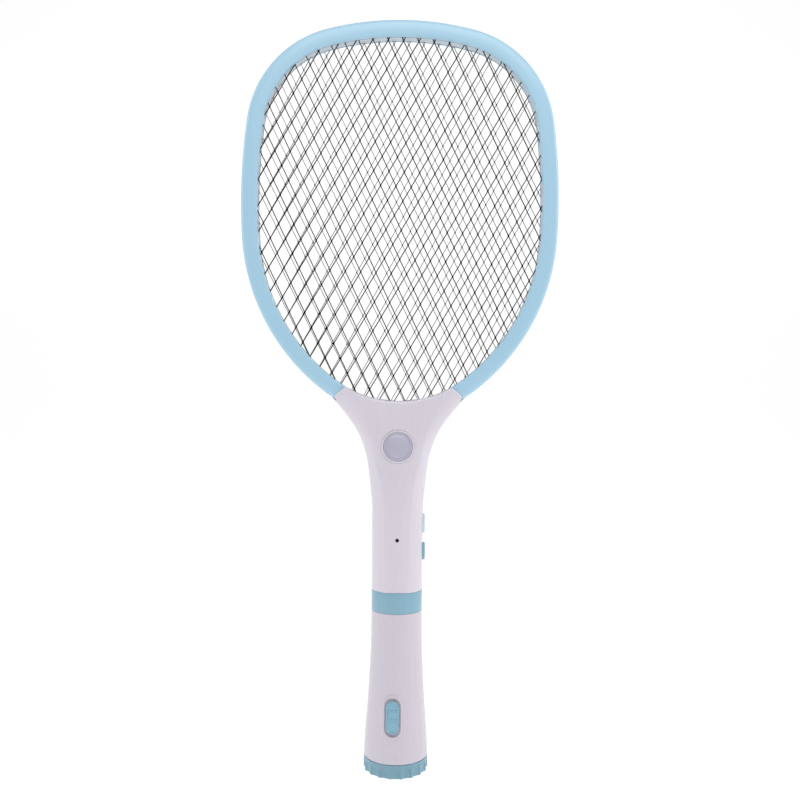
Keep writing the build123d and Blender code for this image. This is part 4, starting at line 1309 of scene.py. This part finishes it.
def make_tail_cap():
    """Screw cap: arched flutes round a rounded skirt, and a threaded neck above."""
    segments = FLUTES * 20
    heights = [0.0, 0.00025, 0.0006, 0.0011, 0.0018, 0.0026, 0.0034, 0.0042, 0.0049, 0.0055, 0.0060,
               0.0064,
               0.0068, 0.0072, 0.0076, 0.0081, CAP_TOP - 0.0002, CAP_TOP]
    rows = [[Vector((0, 0, 0))] * segments]
    for z in heights:
        row = []
        for k in range(segments):
            angle = 2 * pi * k / segments
            row.append(Vector((cap_radius(angle, z) * cos(angle), cap_radius(angle, z) * sin(angle), z)))
        rows.append(row)
    neck = [(0.0179, CAP_TOP)]
    for turn in range(3):
        base = CAP_TOP + 0.0006 + turn * 0.0014
        neck += [(0.0174, base), (0.0174, base + 0.0004), (0.0179, base + 0.0007),
                 (0.0179, base + 0.0011)]
    neck += [(0.0179, 0.0140), (0.0155, 0.0140), (0.0155, 0.0031), (0.0, 0.0031)]
    for radius, z in neck:
        rows.append([Vector((radius * cos(2 * pi * k / segments), radius * sin(2 * pi * k / segments),
                             z)) for k in range(segments)])
    cap = make_piece("tail_cap_shell", *loft_rows(rows), FINISH["cap_blue"], 42.0)
    stand_for(cap, "tail_cap", "tail_cap")


def cap_radius(angle, z):
    """Radius of the cap's skirt: rounded foot, small top edge and scooped flutes."""
    foot = 0.0009
    radius = CAP_R
    if z < foot:
        radius -= foot - sqrt(foot ** 2 - (foot - z) ** 2)
    if z > CAP_TOP - 0.0001:
        radius -= 0.0002
    spacing = 2 * pi / FLUTES
    local = (angle + pi / 2 + spacing / 2) % spacing - spacing / 2
    across = abs(local) * CAP_R / FLUTE_HALF
    rise = max(z - (FLUTE_TOP - FLUTE_HALF), 0.0) / FLUTE_HALF
    reach = across ** 2 + rise ** 2
    if reach < 1.0:
        radius -= FLUTE_DEPTH * (1 - reach) ** 0.6
    return radius


def make_tail_spring():
    """Tapered contact coil under the cells."""
    mesh = bpy.data.meshes.new("tail_coil")
    spring = add_object("tail_coil", mesh)
    low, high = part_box("tail_spring")
    wire = 0.00045
    grow(spring, COIL, {"Turns": 6.0, "Foot Radius": 0.0064, "Top Radius": 0.0032,
                        "Height": high.z - low.z - 2 * wire,
                        "Wire Radius": wire, "Material": FINISH["screw_steel"]})
    spring.data.transform(Matrix.Translation((0, 0, low.z + wire)))
    finish_surface(spring, FINISH["screw_steel"])
    stand_for(spring, "tail_spring", "tail_contact")


# --- CAD nodes that keep their shape ---------------------------------------------------------
def finish_kept_nodes():
    """Give every carried-over node the finish of its slot."""
    slots = {part["node"]: part["material_slot"] for part in frame["record"]["subparts"]}
    for node, piece in NODES.items():
        piece.data.materials.clear()
        piece.data.materials.append(FINISH[slots[node]])


# --- Stage, light and camera -----------------------------------------------------------------
def make_stage():
    """Pale floor that curves up into a backdrop far behind the object."""
    material, tree, shader = new_material("studio_floor")
    shade = noise(tree, object_point(tree), 3.0, detail=2.0)
    colour = mix_colour(tree, math_node(tree, "MULTIPLY", shade, 0.04), (0.42, 0.42, 0.42, 1),
                        (0.39, 0.39, 0.39, 1))
    tree.links.new(colour, shader.inputs["Base Color"])
    shader.inputs["Roughness"].default_value = 0.9
    shader.inputs["Specular IOR Level"].default_value = 0.1
    shader.inputs["Emission Color"].default_value = (1, 1, 1, 1)
    shader.inputs["Emission Strength"].default_value = 0.79
    near, far, wall, bend = -3.0, 2.2, 2.6, 0.9
    profile = [(near, 0.0), (0.0, 0.0), (far - bend, 0.0)]
    profile += [(far - bend + bend * sin(radians(a)), bend - bend * cos(radians(a)))
                for a in range(10, 91, 10)]
    profile += [(far, wall)]
    rows = [[Vector((x, y, z)) for x in (-4.0, 4.0)] for y, z in profile]
    vertices, faces = loft_rows(rows, closed_columns=False)
    mesh = bpy.data.meshes.new("studio_floor")
    mesh.from_pydata([tuple(v) for v in vertices], [], faces)
    floor = add_object("studio_floor", mesh)
    mesh.materials.append(material)
    mesh.shade_smooth()


def area_light(name, place, aim, size, power):
    data = bpy.data.lights.new(name, "AREA")
    data.shape = "RECTANGLE"
    data.size, data.size_y = size
    data.energy = power
    light = bpy.data.objects.new(name, data)
    light.location = place
    light.rotation_euler = (Vector(aim) - Vector(place)).to_track_quat("-Z", "Y").to_euler()
    bpy.context.scene.collection.objects.link(light)


def make_lights():
    for softbox in SOFTBOXES:
        area_light(*softbox)
    world = bpy.data.worlds.new("studio_air")
    world.use_nodes = True
    background = world.node_tree.nodes["Background"]
    background.inputs["Color"].default_value = (1.0, 1.0, 1.0, 1.0)
    background.inputs["Strength"].default_value = 0.13
    bpy.context.scene.world = world
    bpy.context.scene.view_settings.view_transform = "Standard"


def make_camera():
    """Level camera in front of the head's foot, rolled a little."""
    data = bpy.data.cameras.new("studio_camera")
    data.sensor_width = 36.0
    data.lens = CAMERA_LENS
    data.clip_start = 0.01
    camera = bpy.data.objects.new("studio_camera", data)
    level = Matrix.Rotation(radians(90), 4, "X")
    roll = Matrix.Rotation(radians(CAMERA_ROLL), 4, "Z")
    camera.matrix_world = Matrix.Translation(CAMERA_PLACE) @ level @ roll
    bpy.context.scene.collection.objects.link(camera)
    bpy.context.scene.camera = camera


def main():
    finish_kept_nodes()
    make_camera()
    make_frame()
    make_net("front_net", FRONT_NET, -1, "net_steel")
    make_net("rear_net", REAR_NET, 1, "rear_net_steel")
    make_screws()
    make_shells()
    make_neck_light()
    make_indicator()
    make_push_button()
    make_power_slider()
    make_torch_body()
    make_torch_slider()
    make_collar()
    make_torch_head()
    make_tail_cap()
    make_tail_spring()
    make_stage()
    make_lights()


main()
